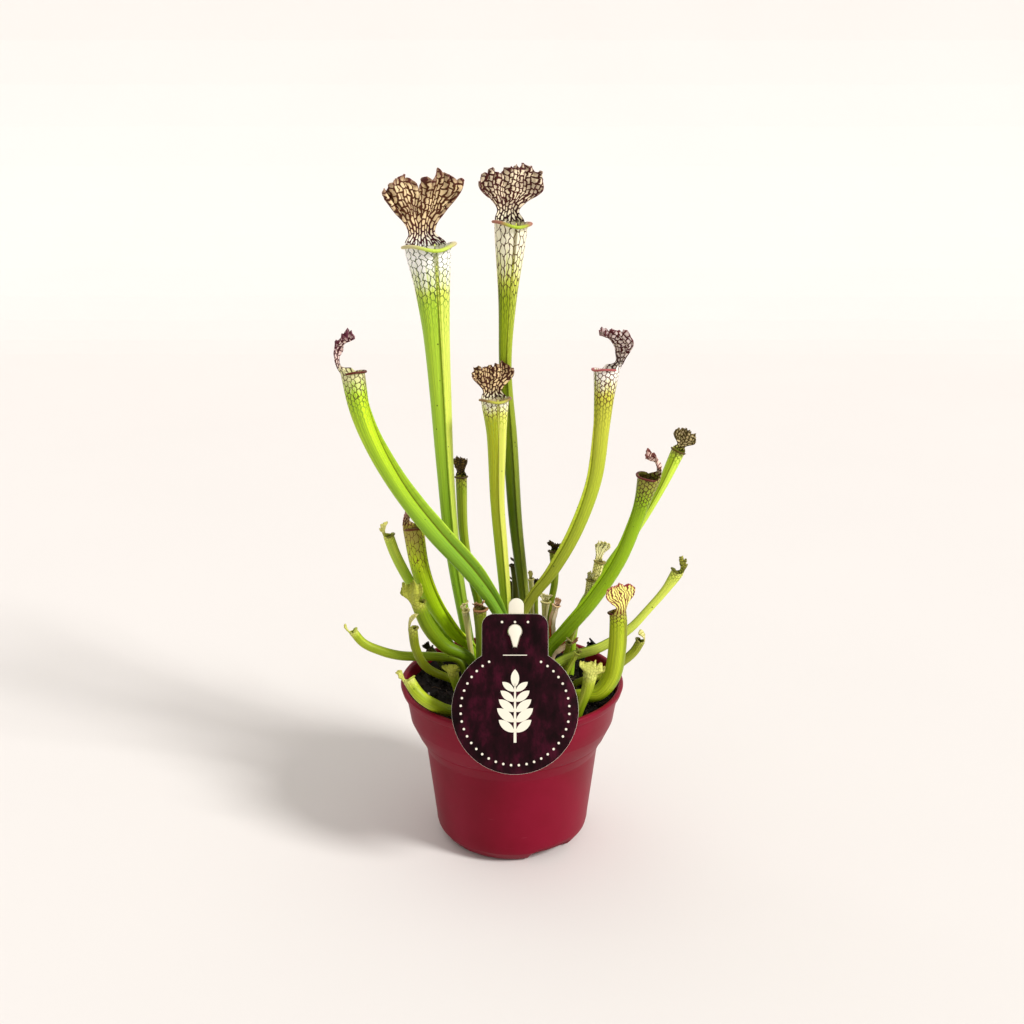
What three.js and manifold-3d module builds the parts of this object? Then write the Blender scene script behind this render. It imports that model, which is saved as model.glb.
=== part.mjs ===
// A white-topped pitcher plant in a nursery pot, with its hang tag on a stake.
// Millimetres, +Z up. The origin is the centre of the pot's foot, and -Y faces the viewer.
import * as THREE from "three";
import { mergeVertices } from "three/addons/utils/BufferGeometryUtils.js";
import Module from "manifold-3d";

const wasm = await Module();
wasm.setup();

// Clearance between pieces that touch on the real plant
const GAP = 0.3;

// Pot
const POT = {
  rimRadius: 60,
  height: 90,
  wall: 1.2,
  collarRadius: 55.9,
  collarTop: 76.5,
  edgeRadius: 54.9,
  edgeHeight: 70.2,
  creaseRadius: 50.2,
  creaseHeight: 60.2,
  shoulderRadius: 46.8,
  shoulderHeight: 53.5,
  footRadius: 42,
  footHeight: 13,
  ringInner: 31,
  ringOuter: 34.5,
  padRadius: 14,
  floorLift: 2.5,
  segments: 36,
};
const DRAIN = { count: 6, radius: 3, ring: 25, sides: 8 };
const FOOT_NOTCH = { width: 25, height: 6.8, slope: 3, angles: [-57, 123] };

// Soil
const SOIL = {
  top: 79,
  bump: 0.9,
  heap: 5.5,
  heapFrom: 44,
  heapWidth: 10,
  segments: 18,
  holeSides: 6,
  holeGap: 0.5,
};
const ROOT_END = 72;

// Tag and stake
const TAG = {
  discRadius: 31.5,
  tabWidth: 33.2,
  tabTop: 47.6,
  corner: 6,
  thickness: 0.8,
  lean: 26,
  discCentre: [1.5, -57.07, 99.2],
  holeHeight: 36.6,
};
const STAKE = { width: 7.6, thickness: 1.5, foot: [0.8, -44.3, 53], head: [2.2, -34.2, 149.5] };
const PEG = { width: 6.6, height: 11, reach: 3 };

// Leaf wall
const LEAF = { wall: 0.9, sheet: 0.8, cavityEnd: 1.1 };
const WING = { root: 0.3, foot: 0.5, head: 0.6 };
const HOOD = { neckAt: 0.2, openAt: 0.85, bow: 0.015, sideDrop: 0.24, lobe: 0.05 };

// How finely a leaf is faceted
const GRADES = {
  large: { sides: 10, back: 4, stations: 11, lip: true, cavity: 3, along: 6 },
  medium: { sides: 8, back: 4, stations: 7, lip: true, cavity: 2, along: 3 },
  small: { sides: 6, back: 2, stations: 5, lip: false, cavity: 1, along: 2 },
};

// Colours of the leaves
const GREENS = {
  white_topped: 0x9cb83a,
  green: 0x7fa52c,
  olive: 0x8a9a33,
  yellow: 0xc3d44a,
  dark: 0x3d4a1c,
  dry: 0xc9a56b,
  dead: 0x17130f,
};

// Every leaf: stations of its tube from the root to the mouth as [x, y, z, radius], the way its mouth
// faces, the wing along its front, and its hood, which rises from the back of the mouth.
const LEAVES = [
  {
    name: "tall_left", grade: "large", green: "white_topped", front: [0.36, -0.93, 0], lip: 2.2, spout: 3.6,
    path: [[-20, 27, 80, 2.6], [-25.5, 27, 108, 3.2], [-32.4, 25, 157, 4.1], [-35.5, 24, 200, 4.6],
      [-37.3, 24, 240, 5.6], [-39.1, 25, 274, 7], [-40.8, 27.3, 297, 9.2], [-42.9, 30, 317, 12]],
    wing: 2.5,
    hood: { rise: 35, neck: 15, fan: 47, lean: 14, ruffle: 2.6, waves: 3, openAt: 0.95 },
  },
  {
    name: "tall_right", grade: "large", green: "white_topped", front: [0.3, -0.95, 0], lip: 1.7, spout: 2,
    path: [[9, 31, 80, 2.6], [8, 30, 111, 2.8], [5.6, 29, 136, 3.1], [1.9, 28, 170, 3.6],
      [-1, 29, 215, 3.9], [-3.5, 29, 255, 3.3], [-2.3, 29, 290, 4.8], [-0.4, 31, 328.5, 8.6]],
    wing: 2,
    hood: { rise: 27, neck: 12.5, fan: 34, lean: 12, ruffle: 2, waves: 3, openAt: 0.68 },
  },
  {
    name: "left_arch", grade: "large", green: "green", front: [1, -0.25, 0.4], lip: 0.7, spout: 0.6,
    path: [[-4, 11, 80, 2.6], [-5, 9, 117, 2.9], [-9.5, 8, 128, 3], [-21.5, 5, 147, 3.5],
      [-41.5, 2, 172, 3.9], [-57.5, 0, 195, 4], [-70.3, -2, 220, 4.5], [-76.6, -3, 239, 5.2],
      [-79.8, -0.5, 257.5, 6]],
    wing: 5.8,
    hood: { rise: 24, neck: 7, fan: 15, tilt: 32, lean: 84, ruffle: 1.5, waves: 2, bow: -0.09 },
  },
  {
    name: "middle", grade: "large", green: "white_topped", front: [0.25, -0.97, 0], lip: 1.1, spout: 1.4,
    path: [[-3, 21, 80, 2.4], [-3, 19, 113, 2.7], [-3.5, 18, 128, 3], [-5.7, 16, 158, 3.5],
      [-7.7, 14.3, 186, 3.8], [-8, 11.6, 223, 5.2], [-8.9, 13.6, 241, 7.2]],
    wing: 2.2,
    hood: { rise: 17, neck: 10.5, fan: 24, lean: 10, ruffle: 1.5, waves: 3, openAt: 0.75 },
  },
  {
    name: "right_arch", grade: "large", green: "white_topped", front: [-0.93, -0.5, 0.1], lip: 0.8, spout: 1,
    path: [[4, 14, 80, 2.4], [5, 12, 118, 2.4], [10, 11, 131, 2.7], [22, 10, 148, 3.1],
      [34, 9, 171, 3.4], [43, 8, 199, 3.7], [45.9, 7.2, 227, 4.2], [47, 9, 242, 5.1],
      [48.3, 12, 256.5, 6.6]],
    wing: 2.4,
    hood: { rise: 25, neck: 8, fan: 20, tilt: 34, lean: 92, ruffle: 1.8, waves: 3, bow: -0.08, openAt: 0.6 },
  },
  {
    name: "right_lean", grade: "large", green: "green", front: [-0.9, -0.3, 0.5], lip: 0.6, spout: 0.6,
    path: [[14, 4, 80, 2.8], [19, 5, 103, 3.2], [28.8, 5, 115.2, 3.6], [42.6, 5, 132.3, 3.7],
      [56.6, 4, 155.8, 3.6], [65, 3, 178.8, 3.6], [67.9, 2.4, 190, 4.3], [70.8, 2, 202.5, 6]],
    wing: 1.8,
    hood: { rise: 17, neck: 7, fan: 12, lean: 85, ruffle: 1.4, waves: 2, bow: -0.06 },
  },
  {
    name: "front_hooded", grade: "large", green: "olive", front: [-0.62, 0.78, 0], lip: 0.6, spout: 0.6,
    path: [[20, -13, 80, 2.8], [24, -14.5, 86, 3], [34, -18, 88, 3.4], [45, -20, 90.5, 4.1],
      [52, -20, 100, 4.6], [54.6, -20, 115, 4.7], [55, -19.5, 129, 4.6], [54.6, -19, 136, 4.4]],
    wing: 1.6,
    hood: { rise: 16, neck: 8.6, fan: 20, tilt: 16, lean: 52, ruffle: 1, waves: 3, openAt: 0.7 },
  },
  {
    name: "left_mid", grade: "large", green: "olive", front: [0.8, -0.5, 0.1], lip: 0.7, spout: 0.6,
    path: [[-12, 14, 80, 2.5], [-23, 13, 103, 3], [-31, 12, 111, 3.7], [-43, 11, 131, 4.6],
      [-49, 11, 149, 5], [-52.5, 13, 171.5, 5.6]],
    wing: 2.4,
    hood: { rise: 17, neck: 5, fan: 10, lean: 118, ruffle: 0.9, waves: 2, bow: -0.05 },
  },
  {
    name: "right_far", grade: "medium", green: "olive", front: [-0.25, -0.95, 0.1], lip: 0.5, spout: 0,
    path: [[33, 29, 80, 2], [36, 29, 113, 2.4], [53, 30, 143, 2.6], [67.5, 30, 165, 2.6],
      [79.4, 28.5, 187.5, 2.7], [88.8, 28.5, 209.5, 3.7]],
    hood: { rise: 11.5, neck: 4.8, fan: 12.5, lean: 8, ruffle: 1.1, waves: 2, openAt: 0.6 },
  },
  {
    name: "right_low", grade: "medium", green: "green", front: [-0.6, -0.1, 0.9], lip: 0.5, spout: 0,
    path: [[12, -8, 80, 2], [19, -6, 97, 2.4], [31, -5, 104.5, 2.6], [47, -5, 110.2, 2.6],
      [62, -4, 120, 2.3], [72, -3, 131, 2.1], [81, -2, 142, 2.3], [87, -1, 151.3, 3.3]],
    hood: { rise: 10, neck: 5.4, fan: 9, tilt: -12, lean: 60, ruffle: 0.8, waves: 2 },
  },
  {
    name: "front_curl", grade: "medium", green: "olive", front: [-0.9, 0.1, 0.3], lip: 0.4, spout: 0,
    path: [[25, -5, 80, 1.9], [35, -6, 90, 1.9], [50, -6, 95, 2.1], [58.5, -7, 102.5, 2.4],
      [64.5, -7.5, 108.5, 2.4], [68, -8, 115, 2.4]],
    hood: { rise: 8, neck: 4, fan: 7, lean: 110, ruffle: 0.4, waves: 1 },
  },
  {
    name: "left_back", grade: "medium", green: "green", front: [0.8, -0.3, 0.4], lip: 0.4, spout: 0,
    path: [[-24, 17, 80, 1.8], [-31.5, 19, 97, 2.1], [-44.6, 19, 119, 2.4], [-56, 18, 140, 2.8],
      [-62.6, 18, 154, 2.9], [-66.2, 18, 165, 2.9]],
    hood: { rise: 9, neck: 3, fan: 7, lean: 55, ruffle: 0.6, waves: 1 },
  },
  {
    name: "left_frill", grade: "medium", green: "olive", front: [0.5, 0.8, 0.1], lip: 0.5, spout: 0,
    path: [[-12, 5, 80, 2.4], [-23.5, 2, 101, 3], [-36, 0, 109, 3.6], [-44.5, -2, 121, 3.9],
      [-49.5, -3, 134, 3.7]],
    hood: { rise: 14, neck: 7, fan: 15, lean: 55, ruffle: 1.4, waves: 2, openAt: 0.6 },
  },
  {
    name: "left_low", grade: "medium", green: "yellow", front: [0.3, 0.1, 0.95], lip: 0.3, spout: 0,
    path: [[-24, 9, 80, 1.9], [-28.5, 11, 95, 2.1], [-40, 11, 97.5, 2.4], [-61, 10, 98.7, 2.6],
      [-72, 9, 102.2, 2.5], [-80.5, 8, 107, 2.4], [-86, 8, 113.8, 2.4]],
    hood: { rise: 6, neck: 2.6, fan: 4.4, lean: 25, ruffle: 0.3, waves: 1 },
  },
  {
    name: "left_small", grade: "medium", green: "olive", front: [0.8, 0.4, 0.2], lip: 0.4, spout: 0,
    path: [[-17, -10, 80, 1.9], [-26.5, -9, 91, 2.1], [-33.5, -10, 94.5, 2.1], [-45, -11, 101, 2.3],
      [-50.5, -12, 112, 2.4], [-52, -12, 124, 2.5]],
    hood: { rise: 10, neck: 2.6, fan: 5, lean: 80, ruffle: 0.3, waves: 1 },
  },
  {
    name: "front_trumpet", grade: "medium", green: "olive", front: [0.3, 0.9, 0], lip: 0.4, spout: 0,
    path: [[-27, -15, 80, 1.6], [-28, -16, 85, 1.6], [-29.5, -17, 93.5, 2.1], [-31, -17.5, 101.5, 2.9]],
    hood: { rise: 5.5, neck: 5.6, fan: 10.5, lean: 30, ruffle: 0.6, waves: 1 },
  },
  {
    name: "rim_leaf", grade: "medium", green: "yellow", front: [0.3, 0.3, 0.9], lip: 0.4, spout: 0,
    path: [[-18, -22, 80, 2.4], [-19.5, -24, 83.5, 2.5], [-31, -34, 87, 3], [-40, -39.5, 93.3, 3.2],
      [-47, -41, 99.5, 3.2], [-52.5, -38, 106.5, 3.1]],
    hood: { rise: 7, neck: 5.4, fan: 10, lean: 25, ruffle: 0.9, waves: 1, openAt: 0.6 },
  },
  {
    name: "dark_back", grade: "medium", green: "olive", front: [0.1, -0.99, 0], lip: 0.5, spout: 0,
    path: [[-14, 36, 80, 2], [-18, 36, 115, 2.4], [-24.5, 36, 145, 2.4], [-26.8, 36, 162, 2.6],
      [-27.6, 36, 193, 3.1]],
    hood: { rise: 10.5, neck: 4.6, fan: 8.4, lean: 20, ruffle: 0.9, waves: 1 },
  },
  {
    name: "brown_mouth", grade: "medium", green: "olive", front: [0.4, -0.9, 0], lip: 0.6, spout: 0,
    path: [[-17, -3, 80, 2.1], [-16.5, -4, 105, 2.6], [-16.7, -4, 120, 2.9], [-17, -4, 131.8, 3.6]],
    hood: { rise: 4.5, neck: 4, fan: 7.5, lean: 95, ruffle: 0.7, waves: 1 },
  },
  {
    name: "pale_lid", grade: "small", green: "yellow", front: [0.6, -0.5, 0.2], lip: 0.3, spout: 0,
    path: [[-19.3, 8.3, 80, 1.3], [-22.5, 7.7, 104, 1.4], [-24, 5.4, 118, 1.6], [-25, 3, 128, 1.9]],
    hood: { rise: 6.5, neck: 3.8, fan: 6.5, lean: 60, ruffle: 0.4, waves: 1 },
  },
  {
    name: "front_lid", grade: "medium", green: "yellow", front: [0.2, 0.95, 0], lip: 0.5, spout: 0,
    path: [[34, -30, 80, 1.8], [35.5, -29, 86, 2.2], [39, -27, 96, 3], [40.5, -26, 103.5, 3.6]],
    hood: { rise: 8.5, neck: 7.6, fan: 13.5, lean: 60, ruffle: 0.9, waves: 1, openAt: 0.6 },
  },
  {
    name: "small_right_back", grade: "small", green: "olive", front: [-0.3, -0.9, 0], lip: 0.4, spout: 0,
    path: [[21, 33, 80, 1.6], [21, 31, 117, 1.9], [23.6, 31, 134, 2], [23, 32, 151.5, 2.6]],
    hood: { rise: 6, neck: 4, fan: 8.5, lean: 60, ruffle: 0.6, waves: 1 },
  },
  {
    name: "striped_tall", grade: "small", green: "yellow", front: [-0.5, -0.8, 0], lip: 0.4, spout: 0,
    path: [[27, 24, 80, 1.5], [33, 22, 106, 1.8], [43.5, 22, 131, 2.2], [47.5, 22, 149, 2.8]],
    hood: { rise: 12, neck: 4.6, fan: 9.5, lean: 30, ruffle: 0.6, waves: 1 },
  },
  {
    name: "striped_short", grade: "small", green: "yellow", front: [-0.6, -0.7, 0], lip: 0.4, spout: 0,
    path: [[28, 14, 80, 1.5], [31.5, 14, 106, 1.6], [40.5, 15, 129, 2], [42.6, 15, 141, 2.4]],
    hood: { rise: 6, neck: 3.6, fan: 6, lean: 70, ruffle: 0.4, waves: 1 },
  },
  {
    name: "pale_trumpet", grade: "small", green: "yellow", front: [0.1, -0.99, 0], lip: 0.3, spout: 0,
    path: [[19, 23, 80, 1.5], [17, 22, 103, 1.4], [18, 21, 118, 1.6], [18.5, 21, 126, 2.4]],
    hood: { rise: 4, neck: 4.4, fan: 8, lean: 30, ruffle: 0.4, waves: 1 },
  },
  {
    name: "serrated_tall", grade: "small", green: "dark", front: [-0.8, -0.5, 0], lip: 0.3, spout: 0,
    path: [[1, 38, 80, 1.6], [2, 38, 114, 1.9], [2, 38, 132, 2.1], [1, 38, 141, 2.1]],
    hood: { rise: 5, neck: 3.4, fan: 5.5, lean: 75, ruffle: 0.4, waves: 1 },
  },
  {
    name: "serrated_short", grade: "small", green: "dark", front: [-0.8, -0.5, 0], lip: 0.3, spout: 0,
    path: [[3, 45, 80, 1.4], [1, 45, 111, 1.6], [0, 45, 128, 1.7]],
    hood: { rise: 4, neck: 2.8, fan: 4.5, lean: 75, ruffle: 0.3, waves: 1 },
  },
  {
    name: "pale_tip", grade: "small", green: "yellow", front: [0, -1, 0], lip: 0.2, spout: 0,
    path: [[14, 37, 80, 1.2], [11.5, 37, 108, 1.2], [11, 37, 126, 1.4], [10.5, 37, 133, 1.5]],
    hood: { rise: 5, neck: 2, fan: 2.4, lean: 15, ruffle: 0.1, waves: 1 },
  },
  {
    name: "dark_tip", grade: "small", green: "olive", front: [-0.5, -0.9, 0], lip: 0.3, spout: 0,
    path: [[17, 44, 80, 1.2], [14, 44, 106, 1.2], [13, 44, 128, 1.7]],
    hood: { rise: 4, neck: 2.8, fan: 4.5, lean: 70, ruffle: 0.3, waves: 1 },
  },
  {
    name: "dry_sheath", grade: "small", green: "dry", front: [-0.3, -0.9, 0], lip: 0.2, spout: 0,
    path: [[21, 16, 80, 1.4], [22, 14, 107, 1.6], [22, 13, 118, 1.9], [24, 13, 127, 1.9]],
    hood: { rise: 4, neck: 3, fan: 3.4, lean: 15, ruffle: 0.2, waves: 1 },
  },
  {
    name: "curl_behind", grade: "small", green: "yellow", front: [-0.5, -0.8, 0.2], lip: 0.3, spout: 0,
    path: [[27, 3, 80, 1.2], [27.5, 2, 97, 1.3], [29.5, 0.5, 105, 1.4], [30.5, -1, 111, 1.5]],
    hood: { rise: 4, neck: 2.6, fan: 4, lean: 85, ruffle: 0.3, waves: 1 },
  },
  {
    name: "curl_front", grade: "small", green: "yellow", front: [-0.5, -0.8, 0.2], lip: 0.3, spout: 0,
    path: [[27, -9.5, 80, 1.1], [29, -10, 97, 1.2], [32, -10, 104, 1.3], [34.5, -10, 109, 1.4]],
    hood: { rise: 4, neck: 2.4, fan: 4, lean: 85, ruffle: 0.3, waves: 1 },
  },
  {
    name: "dead_curl", grade: "small", green: "dead", front: [-0.5, -0.8, 0.2], lip: 0.3, spout: 0,
    path: [[38.5, 12, 80, 1.4], [38.5, 12, 96, 1.5], [43, 11, 104.5, 1.8]],
    hood: { rise: 6, neck: 3, fan: 4.5, lean: 110, ruffle: 0.3, waves: 1 },
  },
  {
    name: "dry_strip", grade: "small", green: "dry", front: [0, -0.3, 1], lip: 0.2, spout: 0,
    path: [[22.5, 9, 80, 1.1], [22.5, 9, 99, 1.3], [26.5, 9, 103, 1.5], [31.5, 9, 106.8, 1.6]],
    hood: { rise: 5, neck: 2.6, fan: 3, lean: 10, ruffle: 0.2, waves: 1 },
  },
  {
    name: "dark_bud", grade: "small", green: "dark", front: [0.5, -0.8, 0.2], lip: 0.3, spout: 0,
    path: [[-33, 14, 80, 1.3], [-42, 18, 95, 1.6], [-45.5, 19, 99, 2]],
    hood: { rise: 4.5, neck: 3.4, fan: 5, lean: 60, ruffle: 0.3, waves: 1 },
  },
];

const rad = THREE.MathUtils.degToRad;
const lerp = THREE.MathUtils.lerp;
const smooth = (t) => THREE.MathUtils.smoothstep(t, 0, 1);

/** The manifold solid of a closed geometry, with its shared vertices merged. */
function solidOf(geometry) {
  geometry.deleteAttribute("normal");
  geometry.deleteAttribute("uv");
  const merged = mergeVertices(geometry, 1e-4);
  const mesh = new wasm.Mesh({
    numProp: 3,
    vertProperties: new Float32Array(merged.attributes.position.array),
    triVerts: new Uint32Array(merged.index.array),
  });
  return new wasm.Manifold(mesh);
}

/** The geometry of a manifold solid. */
function geometryOf(solid) {
  const mesh = solid.getMesh();
  const geometry = new THREE.BufferGeometry();
  geometry.setAttribute("position", new THREE.BufferAttribute(mesh.vertProperties, 3));
  geometry.setIndex(new THREE.BufferAttribute(mesh.triVerts, 1));
  geometry.computeVertexNormals();
  return geometry;
}

/** A named mesh with its own plain material. */
function part(name, geometry, color, roughness) {
  const mesh = new THREE.Mesh(geometry, new THREE.MeshStandardMaterial({ color, roughness, metalness: 0 }));
  mesh.name = name;
  return mesh;
}

/** A closed skin, put together from rings and rows of points with its faces outward. */
class Skin {
  points = [];
  triangles = [];

  /** Takes a row of points in and gives their numbers. */
  row(points) {
    return points.map((point) => this.points.push(point) - 1);
  }

  quad(a, b, c, d) {
    this.triangles.push([a, b, c], [a, c, d]);
  }

  /** A band between two rows. Each column in skip is left open. */
  band(low, high, skip = () => false, closed = true) {
    const columns = closed ? low.length : low.length - 1;
    for (let j = 0; j < columns; j++) {
      const next = (j + 1) % low.length;
      if (!skip(j)) this.quad(low[j], low[next], high[next], high[j]);
    }
  }

  /** A band up from a coarse row to one with twice its columns. */
  widen(low, high) {
    for (let k = 0; k < low.length - 1; k++) {
      this.triangles.push([low[k], low[k + 1], high[2 * k + 1]], [low[k], high[2 * k + 1], high[2 * k]]);
      this.triangles.push([low[k + 1], high[2 * k + 2], high[2 * k + 1]]);
    }
  }

  /** A fan that closes a ring at a pole, at the start of the skin or at its end. */
  cap(ring, pole, atStart) {
    const [tip] = this.row([pole]);
    ring.forEach((point, j) => {
      const next = ring[(j + 1) % ring.length];
      this.triangles.push(atStart ? [tip, next, point] : [point, next, tip]);
    });
  }

  geometry() {
    const geometry = new THREE.BufferGeometry();
    const places = this.points.flatMap((point) => point.toArray());
    geometry.setAttribute("position", new THREE.Float32BufferAttribute(places, 3));
    geometry.setIndex(this.triangles.flat());
    geometry.computeVertexNormals();
    return geometry;
  }
}

/** The run of a leaf's tube, with a frame and a radius at every place from the soil, 0, to the mouth, 1. */
class LeafRun {
  constructor(leaf) {
    this.stations = leaf.path;
    this.curve = new THREE.CatmullRomCurve3(leaf.path.map(([x, y, z]) => new THREE.Vector3(x, y, z)));
    this.facing = new THREE.Vector3(...leaf.front);
  }

  frame(t) {
    const along = this.curve.getTangent(t);
    const front = this.facing.clone().addScaledVector(along, -this.facing.dot(along)).normalize();
    const side = along.clone().cross(front);
    return { centre: this.curve.getPoint(t), along, front, side };
  }

  radius(t) {
    const place = t * (this.stations.length - 1);
    const i = Math.min(Math.floor(place), this.stations.length - 2);
    return lerp(this.stations[i][3], this.stations[i + 1][3], place - i);
  }

  /** A ring round the tube, as one point for each turn from the front. */
  ring(t, turns, radiusAt, liftAt = () => 0) {
    const { centre, along, front, side } = this.frame(t);
    return turns.map((turn) => {
      const radius = radiusAt(turn);
      return centre.clone()
        .addScaledVector(front, radius * Math.cos(turn))
        .addScaledVector(side, radius * Math.sin(turn))
        .addScaledVector(along, liftAt(turn));
    });
  }
}

/** The turns of a ring's points from the front, evenly spread, or drawn in beside the wing. */
function ringTurns(sides, winged) {
  const turns = Array.from({ length: sides }, (_, j) => (2 * Math.PI * j) / sides);
  if (winged) {
    turns[1] = WING.root;
    turns[sides - 1] = -WING.root;
  }
  return turns;
}

/** The rings outside a leaf's tube from the root to the top of its lip, and those inside the mouth. */
function tubeRings(leaf, run, grade) {
  const wing = leaf.wing ?? 0;
  const turns = ringTurns(grade.sides, wing > 0);
  const mouth = run.radius(1);
  const length = run.curve.getLength();
  const facing = (turn) => 0.5 + 0.5 * Math.cos(turn);
  const rolled = (turn) => leaf.lip * smooth(facing(turn) * 1.6);
  const rim = (turn) => -leaf.spout * facing(turn) ** 8;
  const fin = (t, turn) => (turn === 0 ? wing * smooth(t / WING.foot) * smooth((1 - t) / WING.head) : 0);
  const [x, y, , foot] = leaf.path[0];
  const root = new THREE.Vector3(x, y, ROOT_END);
  const { front, side } = run.frame(0);
  const outside = [turns.map((turn) => {
    const out = front.clone().multiplyScalar(Math.cos(turn)).addScaledVector(side, Math.sin(turn));
    return root.clone().add(out.setZ(0).normalize().multiplyScalar(foot));
  })];
  const last = 1 - (1.2 * leaf.lip) / length;
  for (let i = 0; i < grade.stations; i++) {
    const t = last * (i / (grade.stations - 1)) ** 0.9;
    outside.push(run.ring(t, turns, (a) => run.radius(t) + fin(t, a)));
  }
  if (grade.lip) {
    outside.push(run.ring(1, turns, (a) => mouth + rolled(a), (a) => rim(a) - 0.5 * rolled(a)));
  }
  outside.push(run.ring(1, turns, (a) => mouth + 0.7 * rolled(a), (a) => rim(a) + 0.3 * rolled(a)));
  const depth = Math.min(0.45, (4.5 * mouth) / length);
  const inside = [];
  for (let i = 0; i < grade.cavity; i++) {
    const t = 1 - (depth * i) / grade.cavity;
    const hollow = Math.max(run.radius(t) - LEAF.wall, LEAF.cavityEnd / 2);
    inside.push(run.ring(t, turns, () => hollow, (a) => (i ? 0 : rim(a))));
  }
  return { root, outside, inside, bottom: run.frame(1 - depth).centre };
}

/** The middle of the hood as rows of points from the back of the mouth, 0, to its ruffled edge, 1. */
function hoodGrid(leaf, run, grade, columns) {
  const { rise, neck, fan, tilt = 0, lean, ruffle, waves, bow = HOOD.bow, openAt = HOOD.openAt } = leaf.hood;
  const { centre, along, front, side } = run.frame(1);
  const radius = run.radius(1) - LEAF.wall / 2;
  const [start, sweep] = [rad(-tilt), rad(tilt + lean)];
  const base = (Math.PI * grade.back) / grade.sides;
  return Array.from({ length: grade.along + 1 }, (_, i) =>
    Array.from({ length: columns + 1 }, (_, j) => {
      const s = 1 - (2 * j) / columns;
      const reach = 1 - HOOD.sideDrop * s * s + HOOD.lobe * Math.cos(3 * Math.PI * s) * Math.abs(s);
      const up = reach * (i / grade.along) ** 1.15;
      const spread = up < HOOD.neckAt
        ? lerp(radius * base, neck / 2, smooth(up / HOOD.neckAt))
        : lerp(neck / 2, fan / 2, smooth((up - HOOD.neckAt) / (openAt - HOOD.neckAt)));
      const curl = lerp(1 / radius, bow, smooth(up / 0.55)) || 1e-6;
      const bend = start + sweep * up;
      const wave = ruffle * up ** 1.5 * Math.sin(waves * Math.PI * s + 0.6);
      const inward = (1 - Math.cos(s * spread * curl)) / curl + wave;
      return centre.clone()
        .addScaledVector(side, Math.sin(s * spread * curl) / curl)
        .addScaledVector(front, -radius + (rise / sweep) * (Math.cos(start) - Math.cos(bend)))
        .addScaledVector(along, (rise / sweep) * (Math.sin(bend) - Math.sin(start)))
        .addScaledVector(front, inward * Math.cos(bend))
        .addScaledVector(along, -inward * Math.sin(bend));
    }));
}

/** Moves every point of a grid along the sheet's normal, towards its back if the distance is positive. */
function offset(grid, distance) {
  const [lastRow, lastColumn] = [grid.length - 1, grid[0].length - 1];
  return grid.map((row, i) => row.map((point, j) => {
    const along = grid[Math.min(i + 1, lastRow)][j].clone().sub(grid[Math.max(i - 1, 0)][j]);
    const across = grid[i][Math.min(j + 1, lastColumn)].clone().sub(grid[i][Math.max(j - 1, 0)]);
    return point.clone().addScaledVector(across.cross(along).normalize(), distance);
  }));
}

/** One leaf as one closed body: its tube, the mouth's lip, and the hood on the back edge of the mouth. */
function leafMesh(leaf) {
  const grade = GRADES[leaf.grade];
  const run = new LeafRun(leaf);
  const { root, outside, inside, bottom } = tubeRings(leaf, run, grade);
  const skin = new Skin();
  const rings = [...outside, ...inside].map((ring) => skin.row(ring));
  const [outer, inner] = [rings[outside.length - 1], rings[outside.length]];
  const from = (grade.sides - grade.back) / 2;
  const to = from + grade.back;
  const hooded = (j) => j >= from && j < to;
  skin.cap(rings[0], root, true);
  for (let i = 0; i < rings.length - 1; i++) {
    skin.band(rings[i], rings[i + 1], i === outside.length - 1 ? hooded : undefined);
  }
  skin.cap(rings.at(-1), bottom, false);

  const grid = hoodGrid(leaf, run, grade, 2 * grade.back);
  const backs = offset(grid, LEAF.sheet / 2).slice(1).map((row) => skin.row(row));
  const fronts = offset(grid, -LEAF.sheet / 2).slice(1).map((row) => skin.row(row));
  const backBase = outer.slice(from, to + 1);
  const frontBase = inner.slice(from, to + 1);
  skin.widen(backBase, backs[0]);
  skin.widen([...frontBase].reverse(), [...fronts[0]].reverse());
  for (let i = 0; i < backs.length - 1; i++) {
    skin.band(backs[i], backs[i + 1], undefined, false);
    skin.band([...fronts[i]].reverse(), [...fronts[i + 1]].reverse(), undefined, false);
  }
  skin.band(backs.at(-1), fronts.at(-1), undefined, false);
  const back = [backBase, ...backs];
  const front = [frontBase, ...fronts];
  for (let i = 0; i < backs.length; i++) {
    skin.quad(front[i][0], back[i][0], back[i + 1][0], front[i + 1][0]);
    skin.quad(back[i].at(-1), front[i].at(-1), front[i + 1].at(-1), back[i + 1].at(-1));
  }
  return part(`leaf_${leaf.name}`, skin.geometry(), GREENS[leaf.green], 0.45);
}

/** An upright prism with its axis at x, y. */
function prism(x, y, low, high, radius, sides) {
  const geometry = new THREE.CylinderGeometry(radius, radius, high - low, sides);
  geometry.rotateX(Math.PI / 2);
  geometry.translate(x, y, (low + high) / 2);
  return solidOf(geometry);
}

/** The solid turned from a profile of [radius, height] points round Z. */
function turned(profile, segments) {
  const geometry = new THREE.LatheGeometry(profile.map(([r, z]) => new THREE.Vector2(r, z)), segments);
  geometry.rotateX(Math.PI / 2);
  return solidOf(geometry);
}

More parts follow.
